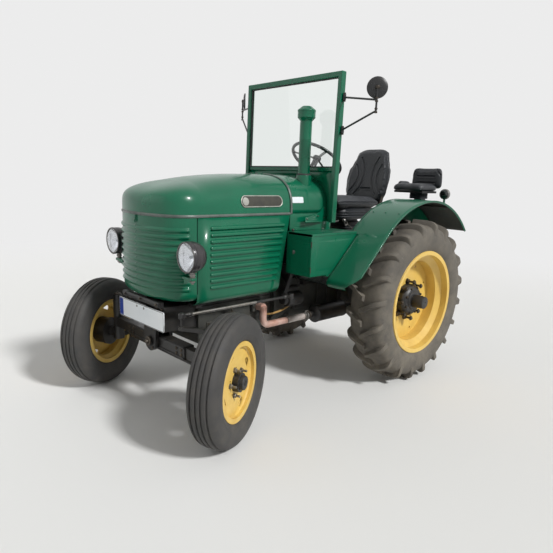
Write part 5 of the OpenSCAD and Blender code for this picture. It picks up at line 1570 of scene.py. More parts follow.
def makeLens(side, tag):
    # pressed glass: a shallow dome whose inside carries upright flutes
    domeR, edge = lamp["domeR"], lamp["lensR"]
    face, deep, wall = lamp["y"] + 2.6, 24.0, 4.0
    outer, inner = [], []
    rings = [edge * k / 14 for k in range(1, 15)]
    around = 96
    for r in rings:
        rise = sqrt(domeR ** 2 - r * r) - (domeR - deep)
        outer.append([at(side * lamp["x"] + r * cos(a), face - rise, lamp["z"] + r * sin(a))
                      for a in turns(around)])
        row = []
        for a in turns(around):
            x, z = r * cos(a), r * sin(a)
            flute = lamp["flute"] * abs(sin(pi * x / lamp["flutePitch"])) * (1.0 if abs(z) < 58 else 0.3)
            row.append(at(side * lamp["x"] + x, face - rise + wall + flute, lamp["z"] + z))
        inner.append(row)
    rows = [[at(side * lamp["x"], face - deep, lamp["z"])] * around] + outer + list(reversed(inner))
    rows.append([at(side * lamp["x"], face - deep + wall, lamp["z"])] * around)
    lens = gridPiece("headlampGlass" + tag, rows, lampGlass, smooth=60, closeColumns=True)
    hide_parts("headlamp_lenses")


# Number plate, blank, with its band and its two screws

plate = dict(half=260.0, y=-1863.0, low=577.0, top=695.0, corner=11.0, band=44.0, edge=3.0)


def makePlate():
    y, edge, middle = plate["y"], plate["edge"], (plate["low"] + plate["top"]) / 2
    outline = capsule(-plate["half"], plate["half"], plate["low"], plate["top"], plate["corner"])
    rings = []
    for shrink, back in ((0.0, 5.0), (0.0, 0.6), (0.6, 0.0), (3.0, 0.0), (4.2, 0.9), (6.0, 1.1)):
        rings.append([at(x - shrink * (1 if x > 0 else -1), y + back,
                         z - shrink * (1 if z > middle else -1)) for x, z in outline])
    parts = [gridPiece("plateSheet", rings, plateWhite, smooth=30, closeColumns=True, caps=True)]
    parts.append(boxPiece("plateBand", (-254, y + 0.5, 583.5), (-254 + plate["band"], y + 1.6, 688.5),
                          plateBlue, bevel=0.4))
    frame = capsule(edge - plate["half"], plate["half"] - edge, plate["low"] + edge, plate["top"] - edge,
                    10)
    parts.append(loopPiece("plateFrame", [at(x, y + 1.0, z) for x, z in frame], 1.9, lampBlack))
    for x in (-40, 40):
        parts.append(lathePiece("plateScrew", [(1, 0.01), (1, 7), (3, 6), (4.2, 4), (4.6, 0.01)],
                                at(x, y + 2, 676), ahead, brightSteel, around=16))
    whole = joinPieces("numberPlate", parts)
    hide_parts("number_plate")


latch = dict(y=-1874.0)


def makeNoseLatch():
    # spring latch at the front of the bonnet, below the trim
    y = latch["y"]
    parts = [boxPiece("latchPlate", (-15, y - 7.5, 1188), (15, y + 3, 1218), greenEnamel, bevel=2.5),
             boxPiece("latchTongue", (-8, y - 12, 1196), (8, y - 6, 1222), greenEnamel, bevel=2.5)]
    hook = [at(0, y - 8, 1196), at(0, y - 12, 1190), at(0, y - 10, 1183), at(0, y - 5, 1182)]
    parts.append(tubePiece("latchHook", smoothPath(hook, 5), 3, greenEnamel, around=10))
    for x in (-10, 10):
        parts.append(lathePiece("latchRivet", [(0, 3.4), (1.4, 3.0), (2.0, 0.01)], at(x, y - 7, 1212),
                                ahead, greenEnamel, around=12))
    whole = joinPieces("noseLatch", parts)


# Seats: padded forms blown up a little by a cloth run, then seams, channels and piping

def closedPad(name, surface, columns=48, rows=40):
    # surface(u, v, side) gives a point, side 1 in front and -1 behind, which meet where u or v is 0 or 1
    points, faces = [], []
    for side in (1, -1):
        start = len(points)
        for i in range(rows + 1):
            for j in range(columns + 1):
                u, v = 0.5 - 0.5 * cos(pi * j / columns), 0.5 - 0.5 * cos(pi * i / rows)
                points.append(surface(u, v, side))
        faces += gridFaces(rows + 1, columns + 1, start=start)
    return linked(name, bareMesh(name, points, faces, 0.0004))


def remeshed(pad, voxel):
    change = pad.modifiers.new("even", "REMESH")
    change.mode = "VOXEL"
    change.voxel_size = voxel * mm
    applied(pad)
    ease = pad.modifiers.new("ease", "SMOOTH")
    ease.factor = 0.5
    ease.iterations = 3
    return applied(pad)


def blownUp(pad, cap):
    # a short cloth run with air inside and no weight; no point moves further than the cap, in mm
    scene = bpy.context.scene
    cloth = pad.modifiers.new("cloth", "CLOTH")
    cloth.settings.use_pressure = True
    cloth.settings.uniform_pressure_force = 4.0
    cloth.settings.effector_weights.gravity = 0
    cloth.settings.quality = 5
    cloth.point_cache.frame_start = 1
    cloth.point_cache.frame_end = 20
    for frameNumber in range(1, 21):
        scene.frame_set(frameNumber)
    graph = bpy.context.evaluated_depsgraph_get()
    moved = bpy.data.meshes.new_from_object(pad.evaluated_get(graph))
    pad.modifiers.clear()
    for vertex, other in zip(pad.data.vertices, moved.vertices):
        step = other.co - vertex.co
        if step.length > cap * mm:
            step *= cap * mm / step.length
        vertex.co += step
    bpy.data.meshes.remove(moved)
    scene.frame_set(1)
    return pad


def subdivided(pad):
    finer = pad.modifiers.new("finer", "SUBSURF")
    finer.levels = finer.render_levels = 1
    return applied(pad)


def sewn(pad, lines, depth, width, facing=None):
    # presses a channel along each line of points into the pad
    tree = KDTree(sum(len(line) for line in lines))
    count = 0
    for line in lines:
        for point in line:
            tree.insert(point, count)
            count += 1
    tree.balance()
    normals = [v.normal.copy() for v in pad.data.vertices]
    for vertex, normal in zip(pad.data.vertices, normals):
        if facing and normal.dot(facing) < 0.15:
            continue
        distance = tree.find(vertex.co)[2]
        if distance < 3.2 * width * mm:
            share = distance / (width * mm)
            vertex.co -= normal * depth * mm * 2.718 ** (-share * share)
            # the cloth stands up a little beside the channel
            vertex.co += normal * depth * 0.22 * mm * 2.718 ** (-(share - 1.9) ** 2 * 2)
    return pad


def onSurface(pad, path):
    tree = BVHTree.FromObject(pad, bpy.context.evaluated_depsgraph_get())
    return [tree.find_nearest(point)[0] for point in path]


def evenLine(points, step=3.0):
    # points about every step mm along a smooth line
    path = smoothPath(points, 16)
    line = [path[0]]
    for a, b in zip(path, path[1:]):
        count = max(1, int((b - a).length / (step * mm)))
        line += [a + (b - a) * k / count for k in range(1, count + 1)]
    return line


def softPad(pad, name, voxel, cap):
    remeshed(pad, voxel)
    blownUp(pad, cap)
    subdivided(pad)
    made = dressPiece(name, pad.data, seatVinyl, "root", 80)
    bpy.data.objects.remove(pad)
    return made


seat = dict(half=235.0, frontY=-330.0, rearY=190.0, lowZ=1243.0, topZ=1340.0, seamZ=1291.0)


def cushionPoint(u, v, side):
    x, y = 2 * u - 1, v
    half = seat["half"] - 8
    n = 5.0
    edge = max(0.0, 1 - abs(x) ** n) ** (1 / 2.4) * max(0.0, 1 - abs(2 * y - 1) ** n) ** (1 / 2.4)
    squeeze = 1 - 0.035 * abs(2 * y - 1) ** 3
    px = half * x * squeeze * (0.94 + 0.06 * min(1.0, y * 2.2))
    py = seat["frontY"] + 6 + (seat["rearY"] - seat["frontY"] - 12) * y
    middle = seat["seamZ"]
    if side > 0:
        bolster = 10.0 * min(1.0, abs(x) / 0.75) ** 3
        rise = seat["topZ"] - 20 - middle + bolster + 16.0 * (1 - y) ** 2 * (1 - abs(x) ** 3) - 8 * y
        pz = middle + max(0.0, rise) * edge
    else:
        pz = middle - (middle - seat["lowZ"]) * edge ** 0.7
    return at(px, py, pz)


def makeCushion():
    pad = softPad(closedPad("cushionForm", cushionPoint), "seatCushion", 6.0, 12)
    middle = (seat["frontY"] + seat["rearY"]) / 2
    seam = onSurface(pad, roundedRing(0, middle, seat["seamZ"], seat["half"] + 4, 264, 0.4, 64))
    top = [evenLine([at(side * x, y, 1345) for x, y in ((118, -270), (128, -140), (122, 20), (96, 150))])
           for side in (1, -1)]
    top += [evenLine([at(x, y, 1345) for x in (-112, -50, 50, 112)]) for y in (-180, -20)]
    top = [onSurface(pad, line) for line in top]
    sewn(pad, top, 6.0, 6.5, upward)
    sewn(pad, [evenLine(seam + [seam[0]])], 4.0, 6.0)
    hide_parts("seat_cushion")
    piping = loopPiece("cushionPiping", seam, 3.4, seatVinyl)


back = dict(half=227.0, footY=215.0, footZ=1250.0, lean=12.0, height=500.0, thick=27.0,
            widths=((0.0, 0.74), (0.08, 0.84), (0.25, 0.96), (0.45, 1.0), (0.6, 0.98), (0.72, 0.86),
                    (0.84, 0.76), (0.94, 0.70), (1.0, 0.56)))


def inBack(x, y, z):
    a = radians(back["lean"])
    return at(x, back["footY"] + y * cos(a) + z * sin(a), back["footZ"] - y * sin(a) + z * cos(a))


def stepped(table, t):
    # smooth value between the rows of a short table
    for (t0, a), (t1, b) in zip(table, table[1:]):
        if t <= t1:
            f = (t - t0) / (t1 - t0)
            return a + (b - a) * f * f * (3 - 2 * f)
    return table[-1][1]


def backPoint(u, v, side):
    x = 2 * u - 1
    width = (back["half"] - 7) * stepped(back["widths"], v)
    n = 6.0
    edge = sqrt(max(0.0, 1 - abs(x) ** n)) * sqrt(max(0.0, 1 - abs(2 * v - 1) ** 9))
    px = width * x
    wing = min(1.0, abs(px) / back["half"]) ** 2.4 * 52 * (1 - 0.35 * v)
    middle = 70 - wing - 12 * v * v
    lumbar = 6 * 2.718 ** (-((v - 0.33) / 0.2) ** 2)
    py = middle - side * (back["thick"] * edge) - (lumbar if side > 0 else 0) * edge
    corner = 18 * abs(x) ** 4
    pz = 6 + (back["height"] - 12) * v - corner * (2 * v - 1) ** 5
    return inBack(px, py, pz)


def makeBack():
    pad = softPad(closedPad("backForm", backPoint), "seatBackrest", 6.0, 10)
    lines = []
    for side in (1, -1):
        outer = ((88, 405), (52, 330), (44, 250), (62, 165), (112, 95))
        inner = ((130, 345), (104, 290), (100, 235), (120, 175), (158, 118))
        for line in (outer, inner):
            lines.append(evenLine([inBack(side * x, 30, z) for x, z in line]))
    lines.append(evenLine([inBack(x, 30, 150) for x in (-46, -15, 15, 46)]))
    lines = [onSurface(pad, line) for line in lines]
    sewn(pad, lines, 7.5, 6.0, Vector((0, -1, 0.1)))
    rim = []
    for a in turns(72):
        v = 0.5 + 0.5 * eased(sin(a), 0.3)
        x = (back["half"] - 4) * stepped(back["widths"], min(1.0, max(0.0, v))) * eased(cos(a), 0.3)
        wing = min(1.0, abs(x) / back["half"]) ** 2.4 * 52 * (1 - 0.35 * v)
        rim.append(inBack(x * 1.03, 82 - wing - 12 * v * v, 6 + 488 * v))
    rim = onSurface(pad, rim)
    sewn(pad, [evenLine(rim + [rim[0]])], 3.5, 6.0)
    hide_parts("seat_back")
    piping = loopPiece("backPiping", rim, 3.2, seatVinyl)


sideSeat = dict(x0=385.0, x1=655.0, y0=60.0, y1=320.0, lowZ=1393.0, topZ=1447.0, backY0=330.0, backY1=390.0,
                backLowZ=1401.0, backTopZ=1570.0)


def makeSideSeat():
    s = sideSeat
    cx, half = (s["x0"] + s["x1"]) / 2, (s["x1"] - s["x0"]) / 2 - 5

    def cushion(u, v, side):
        x, y = 2 * u - 1, 2 * v - 1
        edge = max(0.0, 1 - abs(x) ** 7) ** 0.3 * max(0.0, 1 - abs(y) ** 7) ** 0.3
        z = s["lowZ"] + 14 + ((s["topZ"] - s["lowZ"] - 22) * edge if side > 0 else -14 * edge ** 0.5)
        across, along = x * (1 - 0.09 * abs(y) ** 6), y * (1 - 0.09 * abs(x) ** 6)
        return at(cx + half * across, (s["y0"] + s["y1"]) / 2 + ((s["y1"] - s["y0"]) / 2 - 5) * along, z)

    pad = softPad(closedPad("sideCushionForm", cushion, 40, 40), "sideSeatCushion", 5.0, 6)
    lines = [onSurface(pad, evenLine([at(cx + x, y, 1450) for y in (90, 150, 230, 290)]))
             for x in (-45, 45)]
    sewn(pad, lines, 5.0, 6.0, upward)
    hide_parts("side_seat_pads")

    def rest(u, v, side):
        x = 2 * u - 1
        width = half * (1.0 - 0.10 * max(0.0, v - 0.35) ** 1.4)
        edge = sqrt(max(0.0, 1 - abs(x) ** 6)) * sqrt(max(0.0, 1 - abs(2 * v - 1) ** 6))
        wing = 14 * abs(x) ** 3
        y = (s["backY0"] + s["backY1"]) / 2 + 6 - wing - side * 21 * edge
        across, up = x * (1 - 0.08 * abs(2 * v - 1) ** 7), (2 * v - 1) * (1 - 0.12 * abs(x) ** 7)
        return at(cx + width * across, y, s["backLowZ"] + 4 + (s["backTopZ"] - s["backLowZ"]
                                                               - 8) * (up + 1) / 2)

    pad = softPad(closedPad("sideBackForm", rest, 32, 28), "sideSeatBackrest", 5.0, 6)
    lines = [evenLine([at(cx + x, 335, z) for x in (-72, -30, 30, 72)]) for z in (1452, 1500)]
    lines += [evenLine([at(cx + side * x, 335, z) for x, z in ((78, 1562), (92, 1540), (118, 1512))])
              for side in (1, -1)]
    sewn(pad, [onSurface(pad, line) for line in lines], 5.5, 5.5, ahead)
    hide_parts("side_seat_pads")
    # tubular arm towards the driver's seat
    arm = smoothPath([at(cx - 30, 368, 1412), at(cx - 110, 366, 1420), at(cx - 141, 330, 1428),
                      at(cx - 143, 250, 1430)], 8)
    tube = tubePiece("sideSeatArm", arm, 11, brightSteel, around=16)
    # padded rest on the tube
    rest = [at(cx - 143, y, 1442) for y in (200, 204, 214, 290, 318, 326)]
    sleeve = tubePiece("sideSeatRest", rest, (6, 15, 19, 19, 15, 8), seatVinyl, around=24)


base = dict(bellowsX=112.0, bellowsY=118.0, bellowsLow=979.0, bellowsTop=1158.0, pleats=5, pleat=9.0,
            frameHalf=130.0, panX=196.0, panY=222.0, panMiddle=-30.0, panPower=0.4)


def makeSeatBase():
    half, panX, panY, panMiddle, power = (base[k] for k in ("frameHalf", "panX", "panY", "panMiddle",
                                                            "panPower"))
    parts = [boxPiece("foot", (-110, -140, 840.5), (110, 100, 870), blackEnamel, bevel=3),
             boxPiece("lowerFrame", (-half, -120, 868), (half, 100, 886), blackEnamel, bevel=3),
             boxPiece("upperFrame", (-half, -120, 961), (half, 100, 980), blackEnamel, bevel=3)]
    # crossed links between the frames
    for side in (1, -1):
        x = side * 122
        for y0, y1 in ((-108, 88), (88, -108)):
            ends = [at(x, y0, 884), at(x, y1, 963)]
            parts.append(tubePiece("link", ends, 8, darkSteel, around=12))
        for y, z in ((-108, 884), (88, 884), (-108, 963), (88, 963), (-10, 923.5)):
            parts.append(lathePiece("pin", [(-9, 0.01), (-9, 9), (-8, 10), (8, 10), (9, 9), (9, 0.01)],
                                    at(x, y, z), toLeft, darkSteel, around=16))
    for x in (-60, 60):
        parts.append(springPiece(at(x, -10, 886), 76.0, 22.0, 4.0, 6))
    rows = []
    steps = base["pleats"] * 8
    for k in range(steps + 1):
        z = base["bellowsLow"] + (base["bellowsTop"] - base["bellowsLow"]) * k / steps
        out = base["pleat"] * cos(2 * pi * k / 8) - 5
        rows.append(roundedRing(0, -2, z, base["bellowsX"] + out, base["bellowsY"] + out, 0.55, 56))
    parts.append(gridPiece("bellows", rows, seatVinyl, smooth=70, closeColumns=True, caps=True))
    # pan with a rolled edge
    rings = []
    for inset, z in ((40, 1156), (6, 1158), (0, 1166), (0, 1214), (6, 1232), (2, 1240), (14, 1241.5)):
        rings.append(roundedRing(0, panMiddle, z, panX - inset, panY - inset, power, 64))
    parts.append(gridPiece("seatPan", rings, seatVinyl, smooth=50, closeColumns=True, caps=True))
    for z in (1178, 1196, 1214):
        ring = roundedRing(0, panMiddle, z, panX + 2, panY + 2, power, 64)
        parts.append(loopPiece("panPleat", ring, 4.5, seatVinyl))
    # hinge arms of the backrest
    for side in (1, -1):
        arm = ((120, 1200), (250, 1215), (282, 1330), (262, 1345), (228, 1262), (120, 1236))
        layers = [[at(side * x, y, z) for y, z in arm] for x in (178, 184)]
        parts.append(slabPiece("backArm", *layers, darkSteel))
        parts.append(lathePiece("armBolt", [(-1, 0.01), (-1, 11), (5, 12), (7, 10), (8, 0.01)],
                                at(side * 185, 238, 1240), Vector((side, 0, 0)), brightSteel, around=20))
    whole = joinPieces("seatStand", parts)
    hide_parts("seat_base")
    # chromed height lever with its knob, and the fore-and-aft bar
    lever = smoothPath([at(150, -150, 1150), at(196, -190, 1128), at(214, -236, 1120), at(222, -262, 1150)],
                       8)
    parts = [tubePiece("lever", lever, 5, brightSteel, around=12),
             lathePiece("leverKnob", [(-12, 0.01), (-12, 8), (-6, 13), (4, 14), (11, 9), (13, 0.01)],
                        at(222, -264, 1158), Vector((0.1, -0.2, 1)), brightSteel, around=24)]
    bar = smoothPath([at(-150, -240, 1150), at(-150, -292, 1142), at(-100, -300, 1140), at(100, -300, 1140),
                      at(150, -292, 1142), at(150, -240, 1150)], 6)
    parts.append(tubePiece("slideBar", bar, 5, brightSteel, around=12))
    rod = smoothPath([at(190, -190, 1130), at(196, -120, 1080), at(176, -60, 1010), at(132, -20, 975)], 8)
    parts.append(tubePiece("damperRod", rod, 4, brightSteel, around=10))
    whole = joinPieces("seatLevers", parts)


def springPiece(foot, height, radius, wire, coils):
    steps = coils * 18
    path = [foot + Vector((radius * cos(2 * pi * k / 18), radius * sin(2 * pi * k / 18),
                           height * k / steps)) * mm for k in range(steps + 1)]
    return tubePiece("spring", path, wire, darkSteel, around=8)


# Running gear: small bolts by the tree of copies, then pipes, rods, castings and lamps

def hexMesh():
    # bolt head on its washer, standing on the origin, one unit in radius
    points, faces = [], []
    for profile, sides in (([(0, 0.01), (0, 1.3), (0.16, 1.3), (0.16, 0.01)], 16),
                           ([(0.16, 0.01), (0.16, 1.0), (0.7, 1.0), (0.8, 0.86), (0.8, 0.01)], 6)):
        start = len(points)
        rows = latheRows(profile, Vector((0, 0, 0)), upward, toLeft, sides)
        points += [p / mm for row in rows for p in row]
        faces += gridFaces(len(rows), sides, False, True, start)
    return bareMesh("boltHead", points, faces)


def boltsOn(name, places, normal, size):
    return spotPieces(name, places, normal, size, darkSteel, item=hexMesh())


exhaust = dict(x=250.0, portZ=610.0, y=-1090.0, topZ=620.0, lowZ=486.0, bend=50.0, r=23.0, mufflerR=64.0,
               mufflerY0=-600.0, mufflerY1=-250.0, tailY=-120.0)


def makeExhaust():
    e = exhaust
    x, y, low, r = e["x"], e["y"], e["lowZ"], e["r"]
    path = [at(x, y, e["topZ"]), at(x, y, 600), at(x, y, 570), at(x, y, low + e["bend"])]
    path += [at(x, y + e["bend"] * (1 - cos(radians(a))), low + e["bend"] * (1 - sin(radians(a))))
             for a in range(10, 90, 10)]
    path += [at(x, yy, low) for yy in range(int(y + e["bend"]), -849, 24)]
    parts = [tubePiece("exhaustElbow", path, r, hotPipe, around=32)]
    parts.append(tubePiece("exhaustPipe", [at(x, yy, low) for yy in (-862, -800, -740, -680)], r + 0.3,
                           palePipe, around=32))
    parts.append(tubePiece("exhaustNeck", [at(x, yy, low) for yy in (-690, -640, -590)], r - 1.0,
                           blackEnamel, around=32))
    for yy in (-688, -664, -640):
        ring = [(-7, r - 1), (-7, r + 4), (-5, r + 6), (5, r + 6), (7, r + 4), (7, r - 1)]
        parts.append(lathePiece("clampRing", ring, at(x, yy, low), rearward, brightSteel if yy != -640
                                else darkSteel, around=40))
    parts.append(boxPiece("clampEar", (x - 7, -680, low + r), (x + 7, -648, low + r + 16), brightSteel,
                          bevel=2))
    stud = [at(x - 16, -664, low + r + 9), at(x + 18, -664, low + r + 9)]
    parts.append(tubePiece("clampBolt", stud, 4, darkSteel, around=10))
    m, a, b = e["mufflerR"], e["mufflerY0"], e["mufflerY1"]
    can = [(a, r - 2), (a + 2, r + 8), (a + 8, m - 16), (a + 14, m - 5), (a + 18, m - 1), (a + 20, m),
           (a + 26, m), (a + 28, m - 2), (b - 28, m - 2), (b - 26, m), (b - 20, m), (b - 18, m - 1),
           (b - 14, m - 5), (b - 8, m - 16), (b - 2, r + 8), (b, r - 2)]
    parts.append(lathePiece("muffler", can, at(x, 0, low), rearward, blackEnamel, around=56))
    tail = [at(x, b - 6, low), at(x, -180, low), at(x, e["tailY"], low)]
    parts.append(tubePiece("tailPipe", tail, r, blackEnamel, around=32))
    lip = [(0, r - 2), (0, r + 0.6), (3, r + 1.6), (5, r + 0.4), (5, r - 3), (-30, r - 3)]
    parts.append(lathePiece("tailLip", lip, at(x, e["tailY"] - 5, low), rearward, hotPipe, around=32))
    # flange at the head
    port = [at(px, y, e["portZ"]) for px in (171, 190, x)]
    parts.append(tubePiece("portPipe", port, 26, hotPipe, around=28))
    for px in (172, 186):
        parts.append(boxPiece("portFlange", (px, y - 48, e["portZ"] - 36),
                              (px + 12, y + 48, e["portZ"] + 36), castIron, bevel=5))
    parts.append(boltsOn("portBolts", [at(198, y + dy, e["portZ"]) for dy in (-36, 36)], toLeft, 8))
    whole = joinPieces("exhaustLine", parts)
    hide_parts("exhaust")


def makeDragLink():
    low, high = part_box("drag_link")
    x, z = (low.x + high.x) / 2, (low.z + high.z) / 2
    y0, y1 = low.y + 19 * mm, high.y - 19 * mm
    parts = [tubePiece("rod", [Vector((x, y, z)) for y in (y0 + 0.03, y0 + 0.06, y1 - 0.31)], 9,
                       brightSteel, "steering_link"), tubePiece("rodRear",
                                                                [Vector((x, y, z))
                                                                 for y in (y1 - 0.32, y1 - 0.1, y1 - 0.02)],
                                                                8.6, blackEnamel, "steering_link")]
    for y, toward in ((y0, 1), (y1, -1)):
        end = [(-19, 0.01), (-19, 14), (-15, 18), (10, 19), (15, 17), (19, 9), (19, 0.01)]
        parts.append(lathePiece("ball", end, Vector((x, y, z)), upward, blackEnamel, "steering_link",
                                around=28))
        neck = [Vector((x, y + toward * d * mm, z)) for d in (12, 40, 42, 62, 64, 70)]
        parts.append(tubePiece("neck", neck, [12.5, 11.5, 13.5, 13.5, 11, 9.5], blackEnamel,
                               "steering_link", around=6))
    whole = joinPieces("dragLinkRod", parts, body="steering_link")
    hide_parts("drag_link")


handWheel = dict(y=-360.0, z=1595.0, lean=35.0, r=205.0, rimR=12.0, grip=0.9, spokes=3, wireGap=7.0)


def makeHandWheel():
    w = handWheel
    a = radians(w["lean"])
    turn = Matrix.Rotation(-a, 4, "X")
    place = lambda v: at(0, w["y"], w["z"]) + turn.to_3x3() @ (Vector(v) * mm)
    up = turn.to_3x3() @ upward
    middle = w["r"] - w["rimR"]
    rim = [place((middle * cos(b), middle * sin(b), 0)) for b in turns(144)]
    # shallow finger grips
    grips = [w["rimR"] - w["grip"] + w["grip"] * abs(cos(pi * k / 4)) for k in range(144)]
    parts = [loopPiece("wheelRim", rim, grips, handBlack, "hand_wheel", 16)]
    for k in range(w["spokes"]):
        b = radians(90 + 360 / w["spokes"] * k)
        for off in (-1, 0, 1):
            across = Vector((-sin(b), cos(b), 0)) * off * w["wireGap"]
            spoke = [place(Vector((r * cos(b), r * sin(b), h)) + across)
                     for r, h in ((20, 8), (60, 7), (130, 3), (w["r"] - 14, 0))]
            parts.append(tubePiece("spoke", smoothPath(spoke, 5), 2.6, brightSteel, "hand_wheel",
                                   around=10))
        clip = [place(Vector((r * cos(b), r * sin(b), 0))) for r in (w["r"] - 30, w["r"] - 26, w["r"] - 16)]
        parts.append(tubePiece("spokeEnd", clip, [7, 11, 12.4], handBlack, "hand_wheel", around=20))
    hub = [(-145, 0.01), (-145, 11), (-60, 11), (-58, 20), (-52, 22), (-6, 22), (-2, 30), (0, 32), (16, 32),
           (21, 30), (24, 24), (26, 12), (26.5, 0.01)]
    parts.append(lathePiece("wheelHub", hub, at(0, w["y"], w["z"]), up, handBlack, "hand_wheel", around=40))
    parts.append(lathePiece("hubCap", [(23, 25), (26, 23), (29, 16), (30, 0.01)], at(0, w["y"], w["z"]), up,
                            brightSteel, "hand_wheel", around=36))
    whole = joinPieces("steeringHandWheel", parts, body="hand_wheel")
    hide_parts("steering_wheel")


engine = dict(half=170.0, flangeY0=-1554.0, flangeY1=-964.0, bellZ=610.0, bellR=196.0, ribs=6,
              ribPitch=16.0)


def makeEngine():
    g = engine
    parts = []
    for side in (1, -1):
        out = Vector((side, 0, 0))
        x = side * g["half"]
        # crankcase doors with their bolts
        for y0, y1 in ((-1500, -1330), (-1290, -1120)):
            if side > 0 and y0 == -1290:
                y0, y1 = -1290, -1150
            x0, x1 = x - side, x + side * 9
            parts.append(boxPiece("caseDoor", (x0, y0, 470), (x1, y1, 560), castIron, bevel=5, segments=3))
            places = [at(x + side * 9, y, z) for y in (y0 + 14, (y0 + y1) / 2, y1 - 14) for z in (482, 548)]
            parts.append(boltsOn("doorBolts", places, out, 7))
        # sump flange, with a row of bolts on its lower side
        x0, x1 = x - side * 4, x + side * 12
        parts.append(boxPiece("sumpFlange", (x0, g["flangeY0"], 444), (x1, g["flangeY1"], 458), castIron,
                              bevel=2))
        places = [at(x + side * 6, -1530 + 56 * k, 458) for k in range(10)]
        parts.append(boltsOn("sumpBolts", places, upward, 6.5))
        # cylinder foot line
        x0, x1 = x - side * 4, x + side * 8
        parts.append(boxPiece("cylinderFoot", (x0, g["flangeY0"], 650), (x1, g["flangeY1"], 668), castIron,
                              bevel=3))
        for k in range(g["ribs"]):
            z = 690 + g["ribPitch"] * k
            parts.append(boxPiece("coolingRib", (x0, -1500, z), (x1, -1020, z + 5), castIron, bevel=1.5))
        # bolted ring round the clutch bell
        for k in range(7):
            a = radians(-60 + 20 * k)
            parts.append(boltsOn("bellBolt", [at(side * g["bellR"] * cos(a), -757,
                                                 g["bellZ"] + g["bellR"] * sin(a))], ahead, 8))
    bell = [(-958.6, 214), (-957, 219), (-942, 219), (-940, 214), (-936, 206)]
    parts.append(lathePiece("bellFlange", bell, at(0, 0, g["bellZ"]), rearward, castIron, around=72))
    # starter and oil filter on the left, generator on the right
    starter = [(-930, 0.01), (-930, 30), (-926, 34), (-900, 36), (-898, 48), (-894, 50), (-770, 50),
               (-766, 48), (-760, 30), (-758, 0.01)]
    parts.append(lathePiece("starter", starter, at(262, 0, 640), rearward, blackEnamel, around=40))
    parts.append(lathePiece("solenoid", [(-900, 0.01), (-900, 22), (-897, 24), (-800, 24), (-797, 22),
                                         (-797, 0.01)], at(262, 0, 712), rearward, blackEnamel, around=28))
    bowl = [(480, 0.01), (482, 26), (488, 33), (566, 36), (570, 42), (580, 44), (588, 40), (590, 20),
            (598, 14), (598, 0.01)]
    parts.append(lathePiece("oilFilter", bowl, at(218, -1330, 0), upward, blackEnamel, around=36))
    parts.append(boxPiece("filterHead", (168, -1362, 580), (222, -1298, 604), castIron, bevel=4))
    dynamo = [(-1240, 0.01), (-1240, 20), (-1232, 44), (-1226, 52), (-1080, 52), (-1074, 48), (-1070, 20),
              (-1070, 0.01)]
    parts.append(lathePiece("dynamo", dynamo, at(-232, 0, 600), rearward, blackEnamel, around=40))
    for y in (-1200, -1110):
        parts.append(boxPiece("dynamoFoot", (-234, y - 8, 540), (-168, y + 8, 560), castIron, bevel=2))
    # filler cap and dipstick
    cap = [(0, 22), (4, 24), (16, 24), (18, 20), (18, 0.01)]
    parts.append(lathePiece("fillerCap", cap, at(170, -1005, 600), Vector((1, 0, 0.3)), darkSteel,
                            around=28))
    whole = joinPieces("engineFittings", parts)
    hoses = []
    hose = smoothPath([at(176, -1050, 560), at(222, -1010, 548), at(232, -900, 560), at(226, -800, 592),
                       at(205, -745, 606)], 10)
    hoses.append(tubePiece("fuelHose", hose, 7, hoseTan, around=12))
    pipe = smoothPath([at(174, -1420, 640), at(214, -1400, 650), at(220, -1345, 640), at(218, -1330, 600)],
                      10)
    hoses.append(tubePiece("oilPipe", pipe, 5, darkSteel, around=10))
    cable = smoothPath([at(262, -797, 712), at(262, -770, 716), at(240, -745, 740), at(200, -742, 790)], 10)
    hoses.append(tubePiece("starterCable", cable, 6, frontRubber, around=10))
    whole = joinPieces("engineHoses", hoses)


